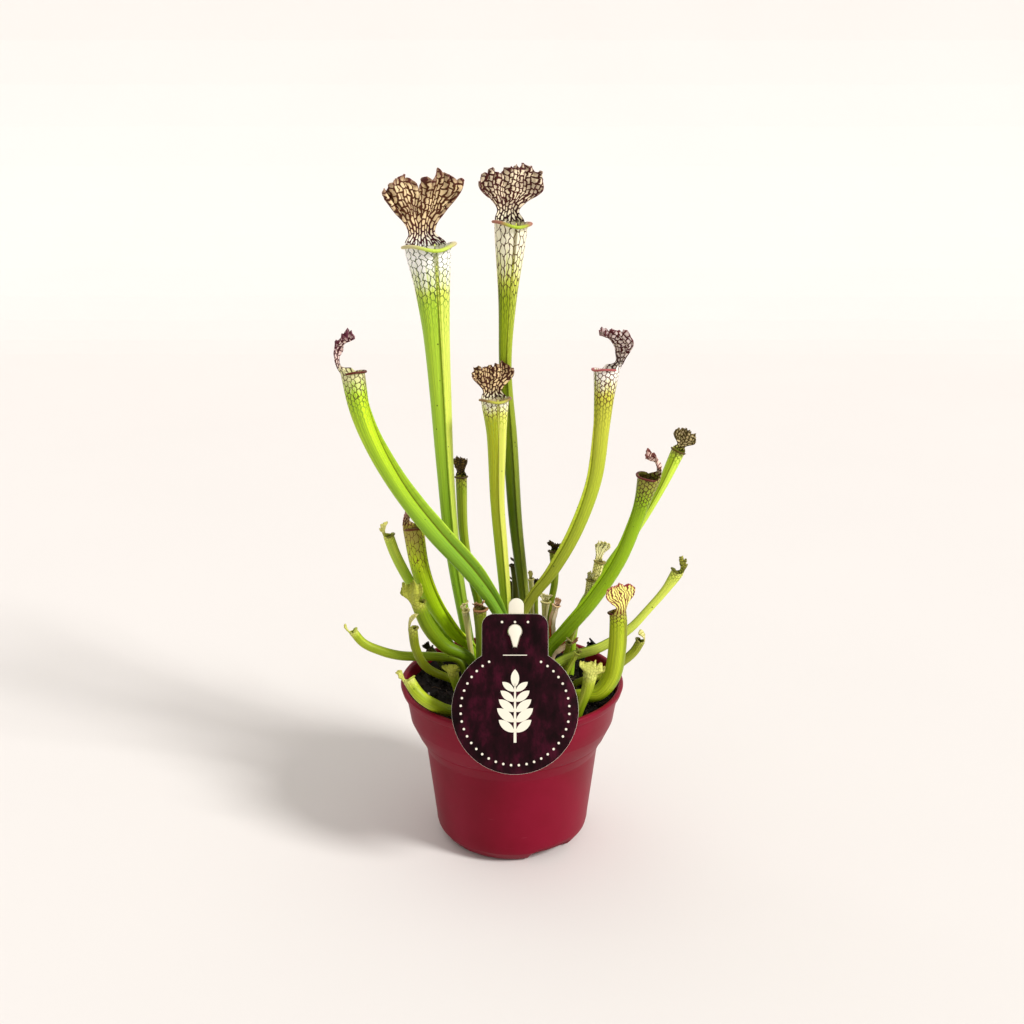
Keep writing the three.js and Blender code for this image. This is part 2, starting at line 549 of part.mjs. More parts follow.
/** The pot: a rolled lip, a collar that draws in at a creased shoulder, and a foot ring with two notches. */
function pot() {
  const p = POT;
  const profile = [
    [0, 0], [p.padRadius, 0], [p.padRadius + 2, p.floorLift], [p.ringInner - 1.5, p.floorLift],
    [p.ringInner, 0], [p.ringOuter, 0], [p.ringOuter + 3.6, 2.6], [p.footRadius - 1, 6.5],
    [p.footRadius, p.footHeight],
    [p.shoulderRadius, p.shoulderHeight], [p.creaseRadius - 0.5, p.creaseHeight - 0.7],
    [p.creaseRadius, p.creaseHeight + 0.4], [p.edgeRadius, p.edgeHeight],
    [p.collarRadius, p.collarTop], [p.rimRadius - 2.5, p.height - 4.9],
    [p.rimRadius - 1, p.height - 4.2], [p.rimRadius, p.height - 0.9], [p.rimRadius - 0.7, p.height],
    [p.rimRadius - 2.3, p.height], [p.rimRadius - 3, p.height - 0.9],
    ...innerWall(0),
    [0, p.floorLift + p.wall],
  ];
  let solid = turned(profile, p.segments);
  for (let i = 0; i < DRAIN.count; i++) {
    const turn = (2 * Math.PI * i) / DRAIN.count;
    const [x, y] = [DRAIN.ring * Math.cos(turn), DRAIN.ring * Math.sin(turn)];
    solid = solid.subtract(prism(x, y, -1, 8, DRAIN.radius, DRAIN.sides));
  }
  for (const angle of FOOT_NOTCH.angles) solid = solid.subtract(footNotch(angle));
  return part("pot", geometryOf(solid), 0x7c1a30, 0.5);
}

/** The inside of the pot's wall from the lip down to the floor, as points moved in by an inset. */
function innerWall(inset) {
  const p = POT;
  return [
    [p.rimRadius - 4 - inset, p.height - 5.5],
    [p.collarRadius - p.wall - inset, p.collarTop],
    [p.edgeRadius - p.wall - 0.3 - inset, p.edgeHeight],
    [p.creaseRadius - p.wall - 0.2 - inset, p.creaseHeight],
    [p.shoulderRadius - p.wall - inset, p.shoulderHeight],
    [p.footRadius - p.wall - inset, p.footHeight],
    [p.footRadius - p.wall - 1.3 - inset, p.footHeight - 3 + inset],
    [p.ringInner - 1.8 - inset, FOOT_NOTCH.height + 1.4 + inset],
    [p.ringInner - 5 - inset, p.floorLift + p.wall + inset],
  ];
}

/** The wedge that a notch takes out of the foot ring. */
function footNotch(angle) {
  const half = FOOT_NOTCH.width / 2;
  const shape = new THREE.Shape();
  shape.moveTo(-half, -1);
  shape.lineTo(half, -1);
  shape.lineTo(half - FOOT_NOTCH.slope, FOOT_NOTCH.height);
  shape.lineTo(-half + FOOT_NOTCH.slope, FOOT_NOTCH.height);
  const depth = POT.footRadius - POT.ringInner + 5;
  const geometry = new THREE.ExtrudeGeometry(shape, { depth, bevelEnabled: false });
  geometry.rotateX(Math.PI / 2);
  geometry.translate(0, POT.ringInner - 1.6 + depth, 0);
  geometry.rotateZ(rad(angle - 90));
  return solidOf(geometry);
}

/** The peat: it fills the pot, lies higher at its edge, and has a hole for every stem and for the stake. */
function soil() {
  const sides = innerWall(GAP).slice(1).reverse();
  const topEdge = POT.collarRadius - POT.wall - GAP + 0.8;
  const lump = (x, y) => {
    const wave = Math.sin(0.33 * x + 1.1) * Math.cos(0.29 * y) - 0.25 * Math.sin(0.7 * y);
    const heap = smooth((Math.hypot(x, y) - SOIL.heapFrom) / SOIL.heapWidth);
    return SOIL.top + SOIL.bump * wave + SOIL.heap * heap;
  };
  const ringOf = (radius, heightAt) => Array.from({ length: SOIL.segments }, (_, j) => {
    const turn = (2 * Math.PI * j) / SOIL.segments;
    const [x, y] = [radius * Math.cos(turn), radius * Math.sin(turn)];
    return new THREE.Vector3(x, y, heightAt(x, y));
  });
  const rings = sides.map(([radius, z]) => ringOf(radius, () => z));
  for (const share of [1, 0.9, 0.79, 0.54, 0.28]) rings.push(ringOf(topEdge * share, lump));
  const top = new THREE.Vector3(0, 0, lump(0, 0));
  const body = new Skin();
  const rows = rings.map((ring) => body.row(ring));
  body.cap(rows[0], new THREE.Vector3(0, 0, sides[0][1]), true);
  for (let i = 0; i < rows.length - 1; i++) body.band(rows[i], rows[i + 1]);
  body.cap(rows.at(-1), top, false);
  let solid = solidOf(body.geometry());
  for (const { path } of LEAVES) {
    const [x, y, , radius] = path[0];
    const hole = (radius + SOIL.holeGap) / Math.cos(Math.PI / SOIL.holeSides);
    solid = solid.subtract(prism(x, y, ROOT_END - GAP, SOIL.top + 6, hole, SOIL.holeSides));
  }
  solid = solid.subtract(stakeBlank(GAP));
  return part("soil", geometryOf(solid), 0x1c1512, 1);
}

/** A turn that stands a flat shape upright, facing the viewer and leaning back. */
function leanBack(geometry, degrees, [x, y, z]) {
  geometry.rotateX(Math.PI / 2 - rad(degrees));
  geometry.translate(x, y, z);
  return geometry;
}

/** The teardrop outline of the stake's peg, or of the tag's hole when grown. */
function teardrop(grow, height) {
  const r = PEG.width / 2 + grow;
  const shape = new THREE.Shape();
  shape.absarc(0, height + PEG.height / 2 - PEG.width / 2, r, -0.25 * Math.PI, 1.25 * Math.PI, false);
  shape.lineTo(-0.25 * r, height - PEG.height / 2 - grow);
  shape.lineTo(0.25 * r, height - PEG.height / 2 - grow);
  return shape;
}

/** The tag: a disc with an upright tab, leaning on the lip of the pot. */
function tag() {
  const { discRadius, tabWidth, tabTop, corner, thickness } = TAG;
  const half = tabWidth / 2;
  const join = Math.acos(half / discRadius);
  const shape = new THREE.Shape();
  shape.absarc(0, 0, discRadius, Math.PI - join, join, false);
  shape.lineTo(half, tabTop - corner);
  shape.absarc(half - corner, tabTop - corner, corner, 0, Math.PI / 2, false);
  shape.absarc(-half + corner, tabTop - corner, corner, Math.PI / 2, Math.PI, false);
  shape.holes.push(teardrop(GAP, TAG.holeHeight));
  const settings = { depth: thickness, bevelEnabled: false, curveSegments: 9 };
  const geometry = new THREE.ExtrudeGeometry(shape, settings);
  leanBack(geometry, TAG.lean, TAG.discCentre);
  return part("tag", geometryOf(solidOf(geometry)), 0x2c0d18, 0.35);
}

/** The stake's strip, grown on every side by the gap that the soil leaves round it. */
function stakeBlank(grow) {
  const foot = new THREE.Vector3(...STAKE.foot);
  const run = new THREE.Vector3(...STAKE.head).sub(foot);
  const half = STAKE.width / 2 + grow;
  const length = run.length();
  const shape = new THREE.Shape();
  shape.moveTo(-half, -grow);
  shape.lineTo(half, -grow);
  shape.absarc(0, length - STAKE.width / 2, half, 0, Math.PI, false);
  const depth = STAKE.thickness + 2 * grow;
  const geometry = new THREE.ExtrudeGeometry(shape, { depth, bevelEnabled: false, curveSegments: 7 });
  geometry.translate(0, 0, -depth / 2);
  geometry.rotateX(Math.PI / 2 - Math.asin(run.y / length));
  geometry.rotateY(Math.atan2(run.x, run.z));
  geometry.translate(foot.x, foot.y, foot.z);
  return solidOf(geometry);
}

/** The stake, with the peg that the tag hangs on. */
function stake() {
  const geometry = new THREE.ExtrudeGeometry(teardrop(0, TAG.holeHeight), {
    depth: PEG.reach + 4, bevelEnabled: false, curveSegments: 6,
  });
  geometry.translate(0, 0, -4);
  leanBack(geometry, TAG.lean, TAG.discCentre);
  return part("stake", geometryOf(stakeBlank(0).add(solidOf(geometry))), 0xefe6cf, 0.4);
}

const plant = new THREE.Group();
plant.add(pot(), soil(), stake(), tag(), ...LEAVES.map(leafMesh));

export default plant;
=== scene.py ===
"""A white-topped pitcher plant in a crimson nursery pot, with a hang tag on a stake.

Every leaf, the pot, the peat, the stake and the tag is modelled here in the place of its plain
solid. Sizes are real ones in millimetres, and become metres when a mesh is finished.
"""

import logging
import random
from dataclasses import dataclass
from enum import Enum
from math import acos, asin, atan2, cos, degrees, hypot, pi, radians, sin, sqrt
from typing import Sequence

import bmesh
import bpy
from bmesh.types import BMEdge, BMesh, BMVert
from bpy.types import Material, Mesh, NodeSocket, Object
from mathutils import Matrix, Vector, noise


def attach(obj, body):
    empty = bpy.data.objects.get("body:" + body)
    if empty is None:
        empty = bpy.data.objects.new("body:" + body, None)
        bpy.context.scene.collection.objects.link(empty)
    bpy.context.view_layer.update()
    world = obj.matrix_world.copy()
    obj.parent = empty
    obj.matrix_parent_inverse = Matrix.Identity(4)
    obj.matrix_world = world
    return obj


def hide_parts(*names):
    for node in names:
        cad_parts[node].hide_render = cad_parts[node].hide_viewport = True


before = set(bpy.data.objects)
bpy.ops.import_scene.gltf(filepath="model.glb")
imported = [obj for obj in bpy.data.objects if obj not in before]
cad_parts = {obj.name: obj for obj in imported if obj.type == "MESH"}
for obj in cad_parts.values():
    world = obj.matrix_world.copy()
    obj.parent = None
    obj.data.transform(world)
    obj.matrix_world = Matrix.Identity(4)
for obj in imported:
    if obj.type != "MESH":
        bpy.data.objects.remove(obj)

LOG = logging.getLogger("pitcher_plant")
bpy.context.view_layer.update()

MM = 0.001
TAU = 2 * pi
SOIL_TOP = 79.0
ROOT_END = 72.0
NET_MAP = "net"
NET_SPAN = 192.0
NOISE_SEED = 11
MARKS = ("pitch", "link", "height", "side", "front", "top", "margin", "lip")

Colour = tuple[float, float, float, float]
Point2 = tuple[float, float]
Point3 = tuple[float, float, float]
Outline = Sequence[Point2]
Source = NodeSocket | float | Colour | Point3


def tint(code: str) -> Colour:
    """Turns a display colour, written as six hexadecimal digits, into the linear one that shaders take."""
    shares = [int(code[k : k + 2], 16) / 255 for k in (0, 2, 4)]
    linear = [c / 12.92 if c <= 0.04045 else ((c + 0.055) / 1.055) ** 2.4 for c in shares]
    return (linear[0], linear[1], linear[2], 1.0)


def smooth(value: float, low: float = 0.0, high: float = 1.0) -> float:
    """Gives the smooth step of a value between two limits."""
    share = min(max((value - low) / (high - low), 0.0), 1.0)
    return share * share * (3 - 2 * share)


def lerp(start: float, end: float, share: float) -> float:
    """Gives the value that lies a share of the way from start to end."""
    return start + (end - start) * share


def polar(radius: float, turn: float) -> Point2:
    """Gives the point at a radius and a turn from the X axis."""
    return radius * cos(turn), radius * sin(turn)


def through(knots: Sequence[Point2], place: float) -> float:
    """Reads a smooth line through a few knots.

    Args:
        knots: (place, value) pairs in rising order of place.
        place: where to read the line.

    Returns:
        The value there, held level beyond the ends.
    """
    if place <= knots[0][0]:
        return knots[0][1]
    for (x0, y0), (x1, y1) in zip(knots, knots[1:]):
        if place <= x1:
            return lerp(y0, y1, smooth(place, x0, x1))
    return knots[-1][1]


class Painter:
    """Lays the nodes of one material round a single principled shader, and keeps the colour so far."""

    FORK_MARK = 0.37
    STAGGER = 1.35
    SLANT = 0.7
    CORNER = 0.3

    def __init__(self, name: str) -> None:
        """Starts the material.

        Args:
            name: the material's name.
        """
        self.material: Material = bpy.data.materials.new(name)
        self.material.use_nodes = True
        self.tree = self.material.node_tree
        self.tree.nodes.clear()
        output = self.tree.nodes.new("ShaderNodeOutputMaterial")
        self.shader = self.tree.nodes.new("ShaderNodeBsdfPrincipled")
        self.tree.links.new(self.shader.outputs["BSDF"], output.inputs["Surface"])
        self.body: Source = 0.0

    def feed(self, socket: NodeSocket, source: Source) -> None:
        """Links a source to an input, or sets the input to it."""
        if isinstance(source, NodeSocket):
            self.tree.links.new(source, socket)
        else:
            socket.default_value = source

    def wire(
        self, kind: str, output: str | int, feeds: dict[str | int, Source], **settings: str,
    ) -> NodeSocket:
        """Adds a node.

        Args:
            kind: the node's kind, without what all kinds begin with.
            output: the output that is wanted.
            feeds: what each input is fed.
            settings: the node's properties.

        Returns:
            The output.
        """
        made = self.tree.nodes.new(f"ShaderNode{kind}")
        for name, value in settings.items():
            setattr(made, name, value)
        for key, source in feeds.items():
            self.feed(made.inputs[key], source)
        return made.outputs[output]

    def shade(self, **inputs: Source) -> Material:
        """Feeds the principled shader, with an input's spaces written as underscores."""
        for name, source in {"Base_Color": self.body, **inputs}.items():
            self.feed(self.shader.inputs[name.replace("_", " ")], source)
        return self.material

    def value(self, attribute: str) -> NodeSocket:
        """Reads one of the piece's own attributes."""
        return self.wire("Attribute", "Fac", {}, attribute_name=attribute)

    def place(self, scale: Point3 = (1.0, 1.0, 1.0), net: bool = False) -> NodeSocket:
        """Gives scaled coordinates.

        Args:
            scale: the factor along each axis.
            net: reads the leaf's net map, and otherwise the object's own metres.

        Returns:
            The coordinates' socket.
        """
        if net:
            source = self.wire("UVMap", "UV", {}, uv_map=NET_MAP)
        else:
            source = self.wire("TexCoord", "Object", {})
        return self.wire("Mapping", "Vector", {"Vector": source, "Scale": scale})

    def combine(self, *parts: Source) -> NodeSocket:
        """Joins two or three values as coordinates."""
        return self.wire("CombineXYZ", "Vector", dict(enumerate(parts)))

    def maths(self, operation: str, *values: Source) -> NodeSocket:
        """Works out one sum with the values that it takes."""
        return self.wire("Math", "Value", dict(enumerate(values)), operation=operation)

    def times(self, a: Source, b: Source) -> NodeSocket:
        """Multiplies two values."""
        return self.maths("MULTIPLY", a, b)

    def plus(self, a: Source, b: Source) -> NodeSocket:
        """Adds two values."""
        return self.maths("ADD", a, b)

    def less(self, a: Source, b: Source) -> NodeSocket:
        """Takes the second value from the first."""
        return self.maths("SUBTRACT", a, b)

    def step(
        self, source: Source, low: Source, high: Source, start: Source = 0.0, end: Source = 1.0,
    ) -> NodeSocket:
        """Maps a value smoothly from between low and high to between start and end."""
        feeds = {"Value": source, "From Min": low, "From Max": high, "To Min": start, "To Max": end}
        return self.wire("MapRange", "Result", feeds, interpolation_type="SMOOTHSTEP")

    def mix(self, factor: Source, a: Source, b: Source, blend: str = "MIX") -> NodeSocket:
        """Mixes two colours."""
        return self.wire("Mix", 2, {0: factor, 6: a, 7: b}, data_type="RGBA", blend_type=blend)

    def blend(self, factor: Source, start: str, end: str) -> NodeSocket:
        """Mixes two display colours."""
        return self.mix(factor, tint(start), tint(end))

    def coat(self, factor: Source, code: str) -> None:
        """Lays a display colour over the colour so far."""
        self.body = self.mix(factor, self.body, tint(code))

    def ramp(self, source: Source, stops: dict[float, str]) -> NodeSocket:
        """Reads a value off a row of display colours, each at its place."""
        made = self.tree.nodes.new("ShaderNodeValToRGB")
        bands = made.color_ramp.elements
        while len(bands) < len(stops):
            bands.new(1.0)
        for band, (position, code) in zip(bands, stops.items()):
            band.position = position
            band.color = tint(code)
        self.feed(made.inputs["Fac"], source)
        return made.outputs["Color"]

    def noise(self, place: NodeSocket, scale: float, detail: float = 2.0, rough: float = 0.5) -> NodeSocket:
        """Gives a cloudy pattern from 0 to 1."""
        feeds = {"Vector": place, "Scale": scale, "Detail": detail, "Roughness": rough}
        return self.wire("TexNoise", "Fac", feeds)

    def warp(self, place: NodeSocket, scale: float, reach: Point3) -> NodeSocket:
        """Shifts coordinates softly, by up to half of a reach to either side."""
        cloud = self.wire("TexNoise", "Color", {"Vector": place, "Scale": scale})
        widened = tuple(3.0 * part for part in reach)
        return self.wire("VectorMath", "Vector", {0: cloud, 1: widened, 2: place}, operation="MULTIPLY_ADD")

    def net(
        self, place: NodeSocket, pitch: Source, link: Source, forks: Sequence[Source], swing: Source,
        lowered: Source,
    ) -> NodeSocket:
        """Gives the distance in millimetres to the nearest vein of a net.

        Args:
            place: x counts the main veins, and y the cross-links.
            pitch: how far apart the main veins lie.
            link: how far apart the cross-links of one strip lie.
            forks: for each set of forks, where its veins lie between two others, from 0 to 0.5.
            swing: how far the main veins swing from side to side, as a share of the pitch.
            lowered: how far the cross-links are sunk out of sight.

        Returns:
            The distance.
        """
        times, plus, less, maths = self.times, self.plus, self.less, self.maths
        x, y = (self.wire("SeparateXYZ", axis, {0: place}) for axis in "XY")
        swinging = times(maths("COSINE", times(x, pi)), maths("SINE", times(y, TAU)))
        x = maths("MULTIPLY_ADD", swinging, swing, x)
        strip, part = maths("FLOOR", x), maths("FRACT", x)
        near = times(maths("PINGPONG", x, 0.5), pitch)
        for level, fork in enumerate(forks, 1):
            past = less(part, fork)
            near = maths("MINIMUM", near, times(maths("ABSOLUTE", past), pitch))
            over = maths("GREATER_THAN", part, fork)
            strip = plus(strip, times(over, self.FORK_MARK / level))
            low, high = maths("DIVIDE", part, fork), maths("DIVIDE", past, less(1.0, fork))
            part = plus(low, times(over, less(high, low)))
            pitch = times(pitch, plus(fork, times(over, maths("MULTIPLY_ADD", fork, -2.0, 1.0))))
        chance = self.wire("TexWhiteNoise", "Value", {"W": strip}, noise_dimensions="1D")
        slant = times(less(chance, 0.5), times(part, self.SLANT))
        offset = maths("PINGPONG", times(maths("FLOOR", strip), 0.5), 0.5)
        offset = maths("MULTIPLY_ADD", maths("FRACT", strip), self.STAGGER, offset)
        links = times(maths("PINGPONG", plus(plus(y, offset), slant), 0.5), link)
        return maths("SMOOTH_MIN", near, plus(links, lowered), self.CORNER)

    def bump(self, height: Source, distance: float, strength: float = 1.0) -> NodeSocket:
        """Raises the surface by a height pattern, with its full height in metres."""
        return self.wire("Bump", "Normal", {"Height": height, "Distance": distance, "Strength": strength})


@dataclass(frozen=True)
class LeafFinish:
    """The display colours of a kind of leaf, from its foot to the edge of its hood.

    The tube runs from foot to stem to body. To the right of its seam it takes a bright colour, partly its
    own yellow and partly painted light, and its left flank is darkened as painted shade. Below the mouth it
    has panes between veins. The hood's veins change from neck to web, round panes of its own colour, and
    a loose hood's veins have no cross-links. The halves are half widths in millimetres, and the places
    are shares of the tube's height.
    """

    foot: str
    stem: str
    body: str
    bright: str
    pane: str
    vein: str
    neck: str
    web: str
    hood: str
    frill: str
    lip: str
    throat: str
    vein_half: float = 0.24
    web_half: float = 0.46
    stripes: float = 0.3
    stem_at: float = 0.35
    bright_at: float = 0.1
    loose: float = 0.0
    seam: str = "6e780c"
    dip: str = ""
    flush: float = 0.45
    gloss: float = 0.4

    SPECK = "3c4412"
    SPECK_SCALE = 150.0
    FLUSH_SCALE = 100.0
    MOUTH_AT = 0.985
    FORKS = (2.0, 4.6)
    GRAIN = (46.0, 1.6)

    def colour(self, paint: Painter, throat: bool) -> NodeSocket:
        """Paints the leaf's colours.

        Args:
            paint: the material that is laid out.
            throat: paints the inner side, which below the mouth takes the throat colour as painted shade.

        Returns:
            The relief of the veins.
        """
        times, less, maths, step, coat = paint.times, paint.less, paint.maths, paint.step, paint.coat
        pitch, link, height, side, front, top, margin, lip = (paint.value(name) for name in MARKS)
        net = paint.place((NET_SPAN, NET_SPAN, 1.0), net=True)
        net = paint.warp(paint.warp(net, 0.45, (0.42, 0.4, 0.0)), 1.5, (0.15, 0.16, 0.0))
        hooded = step(height, self.MOUTH_AT, 1.03)
        linked = maths("MULTIPLY_ADD", times(hooded, less(1.0, margin)), -self.loose, top)
        roomy = times(pitch, step(hooded, 0.0, 1.0, 0.5, 1.0))
        forks = [step(roomy, low, low * 1.4, 0.0, 0.5) for low in self.FORKS]
        swing = step(hooded, 0.0, 1.0, -0.17, -0.05)
        distance = paint.net(net, pitch, link, forks, swing, step(linked, 0.0, 0.3, 3.0, 0.0))
        # Darker towards the foot in most finishes, partly the leaf's own colour and partly painted shade low
        # in the clump.
        body_at = min(self.stem_at + 0.35, 0.9)
        paint.body = paint.ramp(height, {0.0: self.foot, self.stem_at: self.stem, body_at: self.body})
        # Partly painted light: the flank right of the seam takes the bright colour, besides the leaf's own
        # yellow.
        lit = step(height, self.bright_at, self.bright_at + 0.4, 0.15, 0.9)
        coat(times(step(side, 0.0, 0.2), lit), self.bright)
        # Painted shade: the left flank, away from the light, takes the darker stem colour.
        coat(step(side, -0.99, -0.75, 0.5, 0.0), self.stem)
        across, along = self.GRAIN
        grain = paint.noise(paint.combine(times(front, across), times(height, along)), 1.0, 3.0)
        shade = step(grain, 0.34, 0.66, 1.0 - self.stripes, 1.0 + 0.35 * self.stripes)
        paint.body = paint.mix(1.0, paint.body, paint.combine(shade, shade, shade), "MULTIPLY")
        streaky = paint.plus(top, times(less(grain, 0.5), 0.5))
        coat(step(streaky, 0.25, 0.7, 0.0, 0.6), self.bright)
        coat(step(streaky, 0.55, 0.85), self.pane)
        coat(step(height, 1.0, 1.3), self.hood)
        flush = step(paint.noise(paint.place(), self.FLUSH_SCALE), 0.44, 0.64, 0.0, self.flush)
        coat(times(step(height, 1.1, 1.5), flush), self.web)
        half = step(hooded, 0.0, 1.0, self.vein_half, self.web_half)
        line = step(distance, times(half, 0.6), times(half, 1.25), 1.0, 0.0)
        line = times(line, maths("MAXIMUM", step(top, 0.0, 0.4, 0.25, 0.95), hooded))
        in_tube = paint.blend(step(top, 0.1, 0.6), self.stem, self.vein)
        in_hood = paint.blend(step(height, 1.15, 1.45), self.neck, self.web)
        paint.body = paint.mix(line, paint.body, paint.mix(hooded, in_tube, in_hood))
        coat(times(margin, 0.7), self.frill)
        rolled = paint.blend(step(front, 0.05, 0.3), self.dip or self.lip, self.lip)
        paint.body = paint.mix(lip, paint.body, rolled)
        below = step(height, self.MOUTH_AT, 1.0, 1.0, 0.0)
        if throat:
            # Painted shade: the inner wall below the mouth takes the throat colour, which is dark in most
            # finishes.
            coat(times(below, 0.7), self.throat)
        else:
            coat(times(step(front, 0.02, 0.055, 0.75, 0.0), below), self.seam)
            feeds = {"Vector": paint.place(), "Scale": self.SPECK_SCALE}
            specks = paint.wire("TexVoronoi", "Distance", feeds)
            coat(step(specks, 0.05, 0.08, 0.8, 0.0), self.SPECK)
        return maths("MULTIPLY_ADD", grain, 0.4, times(line, 0.7))

    def dress(self, name: str, throat: bool) -> Material:
        """Makes the leaf's material for its outer or its inner side."""
        paint = Painter(name)
        relief = self.colour(paint, throat)
        return paint.shade(
            Roughness=paint.step(relief, 0.1, 0.8, self.gloss, self.gloss + 0.12),
            Normal=paint.bump(relief, 0.0002, 0.6), Subsurface_Weight=0.08,
            Subsurface_Radius=(0.0012, 0.0016, 0.0005), Subsurface_Scale=1.0, Specular_IOR_Level=0.2)


def shades(codes: str, **more: float | str) -> LeafFinish:
    """Makes a leaf's finish from its twelve display colours, in the order of its fields."""
    return LeafFinish(*codes.split(), **more)


class Leafage(Enum):
    """The finishes of the clump's leaves."""

    TALL = shades(
        "3f5602 9cc832 bce03c e4ee68 fffef6 465026 3c0a18 4c220a f0d4a6 6a3434 ccc08c dcdcb4",
        vein_half=0.34, web_half=0.46, stem_at=0.25, seam="80840e", dip="c4dc50")
    # Painted shadow of the middle leaf: the dark stem reaches far up, and the bright right flank starts high.
    SLIM = shades(
        "a0a444 506804 a0b414 e8ec68 f8f2d4 4c2c1a 2c0a0c 42140e f8e4c4 5c2828 a8705c c8b890",
        vein_half=0.3, web_half=0.43, stem_at=0.45, bright_at=0.72, seam="5c4c02", dip="b0c838")
    # Painted light: the pale foot and stem lift the shade that the leaves and the tag in front cast there.
    MIDDLE = shades(
        "d0e474 bcd43c b0b81c e4e66a f4f0d2 583822 36120c 421c0a f0d09c 5c3024 8a6a48 b8a070",
        vein_half=0.3, web_half=0.42, stem_at=0.35, seam="8c8c1c", dip="b8b848")
    RIGHT_ARCH = shades(
        "ccdc64 8c9428 b4cc2c d6d248 fcf6e8 58241c 3c080e 480e10 fae8e0 682830 b05c5c 8a4a48",
        vein_half=0.36, web_half=0.42, stem_at=0.25, bright_at=0.5, seam="606410")
    LEFT_ARCH = shades(
        "74a836 84b02c ccec28 b4d83c d8d69c 54481c 3c080e 4c121c f4d8d0 70384a 5c2418 4a2c18",
        vein_half=0.3, web_half=0.34, stripes=0.34, stem_at=0.45, seam="6e5c22")
    GREEN_NET = shades(
        "7ca018 84ac14 8cac10 9cc01c 98983c 4a2c14 4a1410 5c2018 f4d4c4 7e4a44 60281e 3a1410",
        vein_half=0.32, web_half=0.34, stripes=0.3, stem_at=0.5, seam="64780c")
    BROWN_NET = shades(
        "7ca004 a4cc08 a0b414 cfe41c a89c44 5c3410 5c2018 7c3830 f0c4b0 8c5a52 6a3c1c 4a2410",
        vein_half=0.17, web_half=0.3, stem_at=0.5, seam="6c780a")
    FAN = shades(
        "3c4c04 94b008 848418 bccc28 b0a848 54400e 6e3218 6c2424 ece47c a83c4c 4a1c0e 2c0e08",
        vein_half=0.3, web_half=0.36, stripes=0.4, stem_at=0.5, loose=1.0, flush=0.0)
    FAR = shades(
        "94bc1c b0d824 b8d430 d8f450 b8c050 6a7424 463010 4c3c14 d8c490 544020 58480e 4c4010",
        web_half=0.34, stem_at=0.5)
    LOW_GREEN = shades(
        "7c9c24 90b42c d8dc50 e0ec60 dce46c 88882c 64641c 74702c c4c24c 78742c 646418 3c3c10",
        web_half=0.24, stem_at=0.5)
    LIME = shades(
        "8cac2c a4c834 ccdc50 dcec5c d0d860 a0a03c a4a438 bcbc50 ece88c d0cc6c 7c7c24 4c4c18",
        vein_half=0.14, web_half=0.12, stem_at=0.5)
    OLIVE = shades(
        "5c6c04 747e08 8a9420 a4ac30 a8ac48 7c7c2c 8c8a34 a8a044 e8e29a c8be74 7c7830 50501c",
        web_half=0.18, stem_at=0.5)
    FRILL = shades(
        "546c06 6c8c0c 809814 9cb028 acb044 808428 787c1c 949830 bcc048 949838 808428 50541a",
        vein_half=0.14, web_half=0.1, stem_at=0.4)
    YELLOW = shades(
        "506404 88a014 b4c42c ccd84c d0d46c a0a83c 98a038 b0b44c dcdc74 bcb058 a8b044 787c24",
        vein_half=0.12, web_half=0.1, stem_at=0.4)
    PALE = shades(
        "b4ac58 d8ce7c e4dc94 ece8ae ece8b4 b4a860 a89c50 c0b468 f4f0c4 e0d090 d8cc8c a89c58",
        vein_half=0.16, web_half=0.2)
    STRIPED = shades(
        "6c7a10 78841c a4a444 b0b054 f8ee9c 504c1c 544818 5c5020 fdf6b8 e8dc84 8a7c3c 3e3410",
        vein_half=0.16, web_half=0.17, loose=1.0, flush=0.0)
    BROWN_HOODED = shades(
        "56760a 7c9c14 8c9c28 a0b030 a0a03c 4c4814 22160a 362410 6e5628 4a341a 483818 2a1c0c",
        web_half=0.5, stem_at=0.5)
    FRILL_MOUTH = shades(
        "54680c 6c8018 7c8c20 8c9828 a89c50 5c4c1c 64381c 7c5030 d8b488 a87c54 946844 38200e",
        web_half=0.25, stem_at=0.5)
    DARK = shades(
        "2c3408 3e4a10 4c4c18 56561c 58541e 2c260c 241a0a 2e2210 5c4a22 2e2010 382c12 1e160a",
        web_half=0.5, gloss=0.5)
    DRY = shades(
        "b07848 dcae84 e6c49c ecd0ac e8c4a0 b07c58 9c6448 a8745c e0b090 8c5c40 c89c74 94684c",
        vein_half=0.16, web_half=0.2, gloss=0.62)
    SHEATH = shades(
        "8c2810 c04424 ecd6ae f4e4c4 f0dcb8 c08c68 a8745c b07c5c ecd0a8 a87450 d8b488 94684c",
        vein_half=0.14, web_half=0.14, stem_at=0.5, gloss=0.5)
    DEAD = shades(
        "0e0b0a 181412 1e1917 26201c 221d1a 100d0c 0e0c0b 14110f 1e1a18 241e1a 241e1a 0e0c0b",
        seam="0e0c0b", gloss=0.55)


@dataclass(frozen=True)
class Grade:
    """How finely a leaf is faceted, and how far round the mouth its hood is rooted."""

    side: int
    hood: int
    tube_rows: int
    hood_rows: int
    root_half: float

    @property
    def columns(self) -> int:
        """Counts the columns all the way round."""
        return 2 * self.side + self.hood


class Size(Enum):
    """The three sizes of leaf."""

    LARGE = Grade(18, 88, 76, 46, radians(72))
    MEDIUM = Grade(12, 44, 44, 24, radians(90))
    SMALL = Grade(9, 28, 26, 15, radians(60))


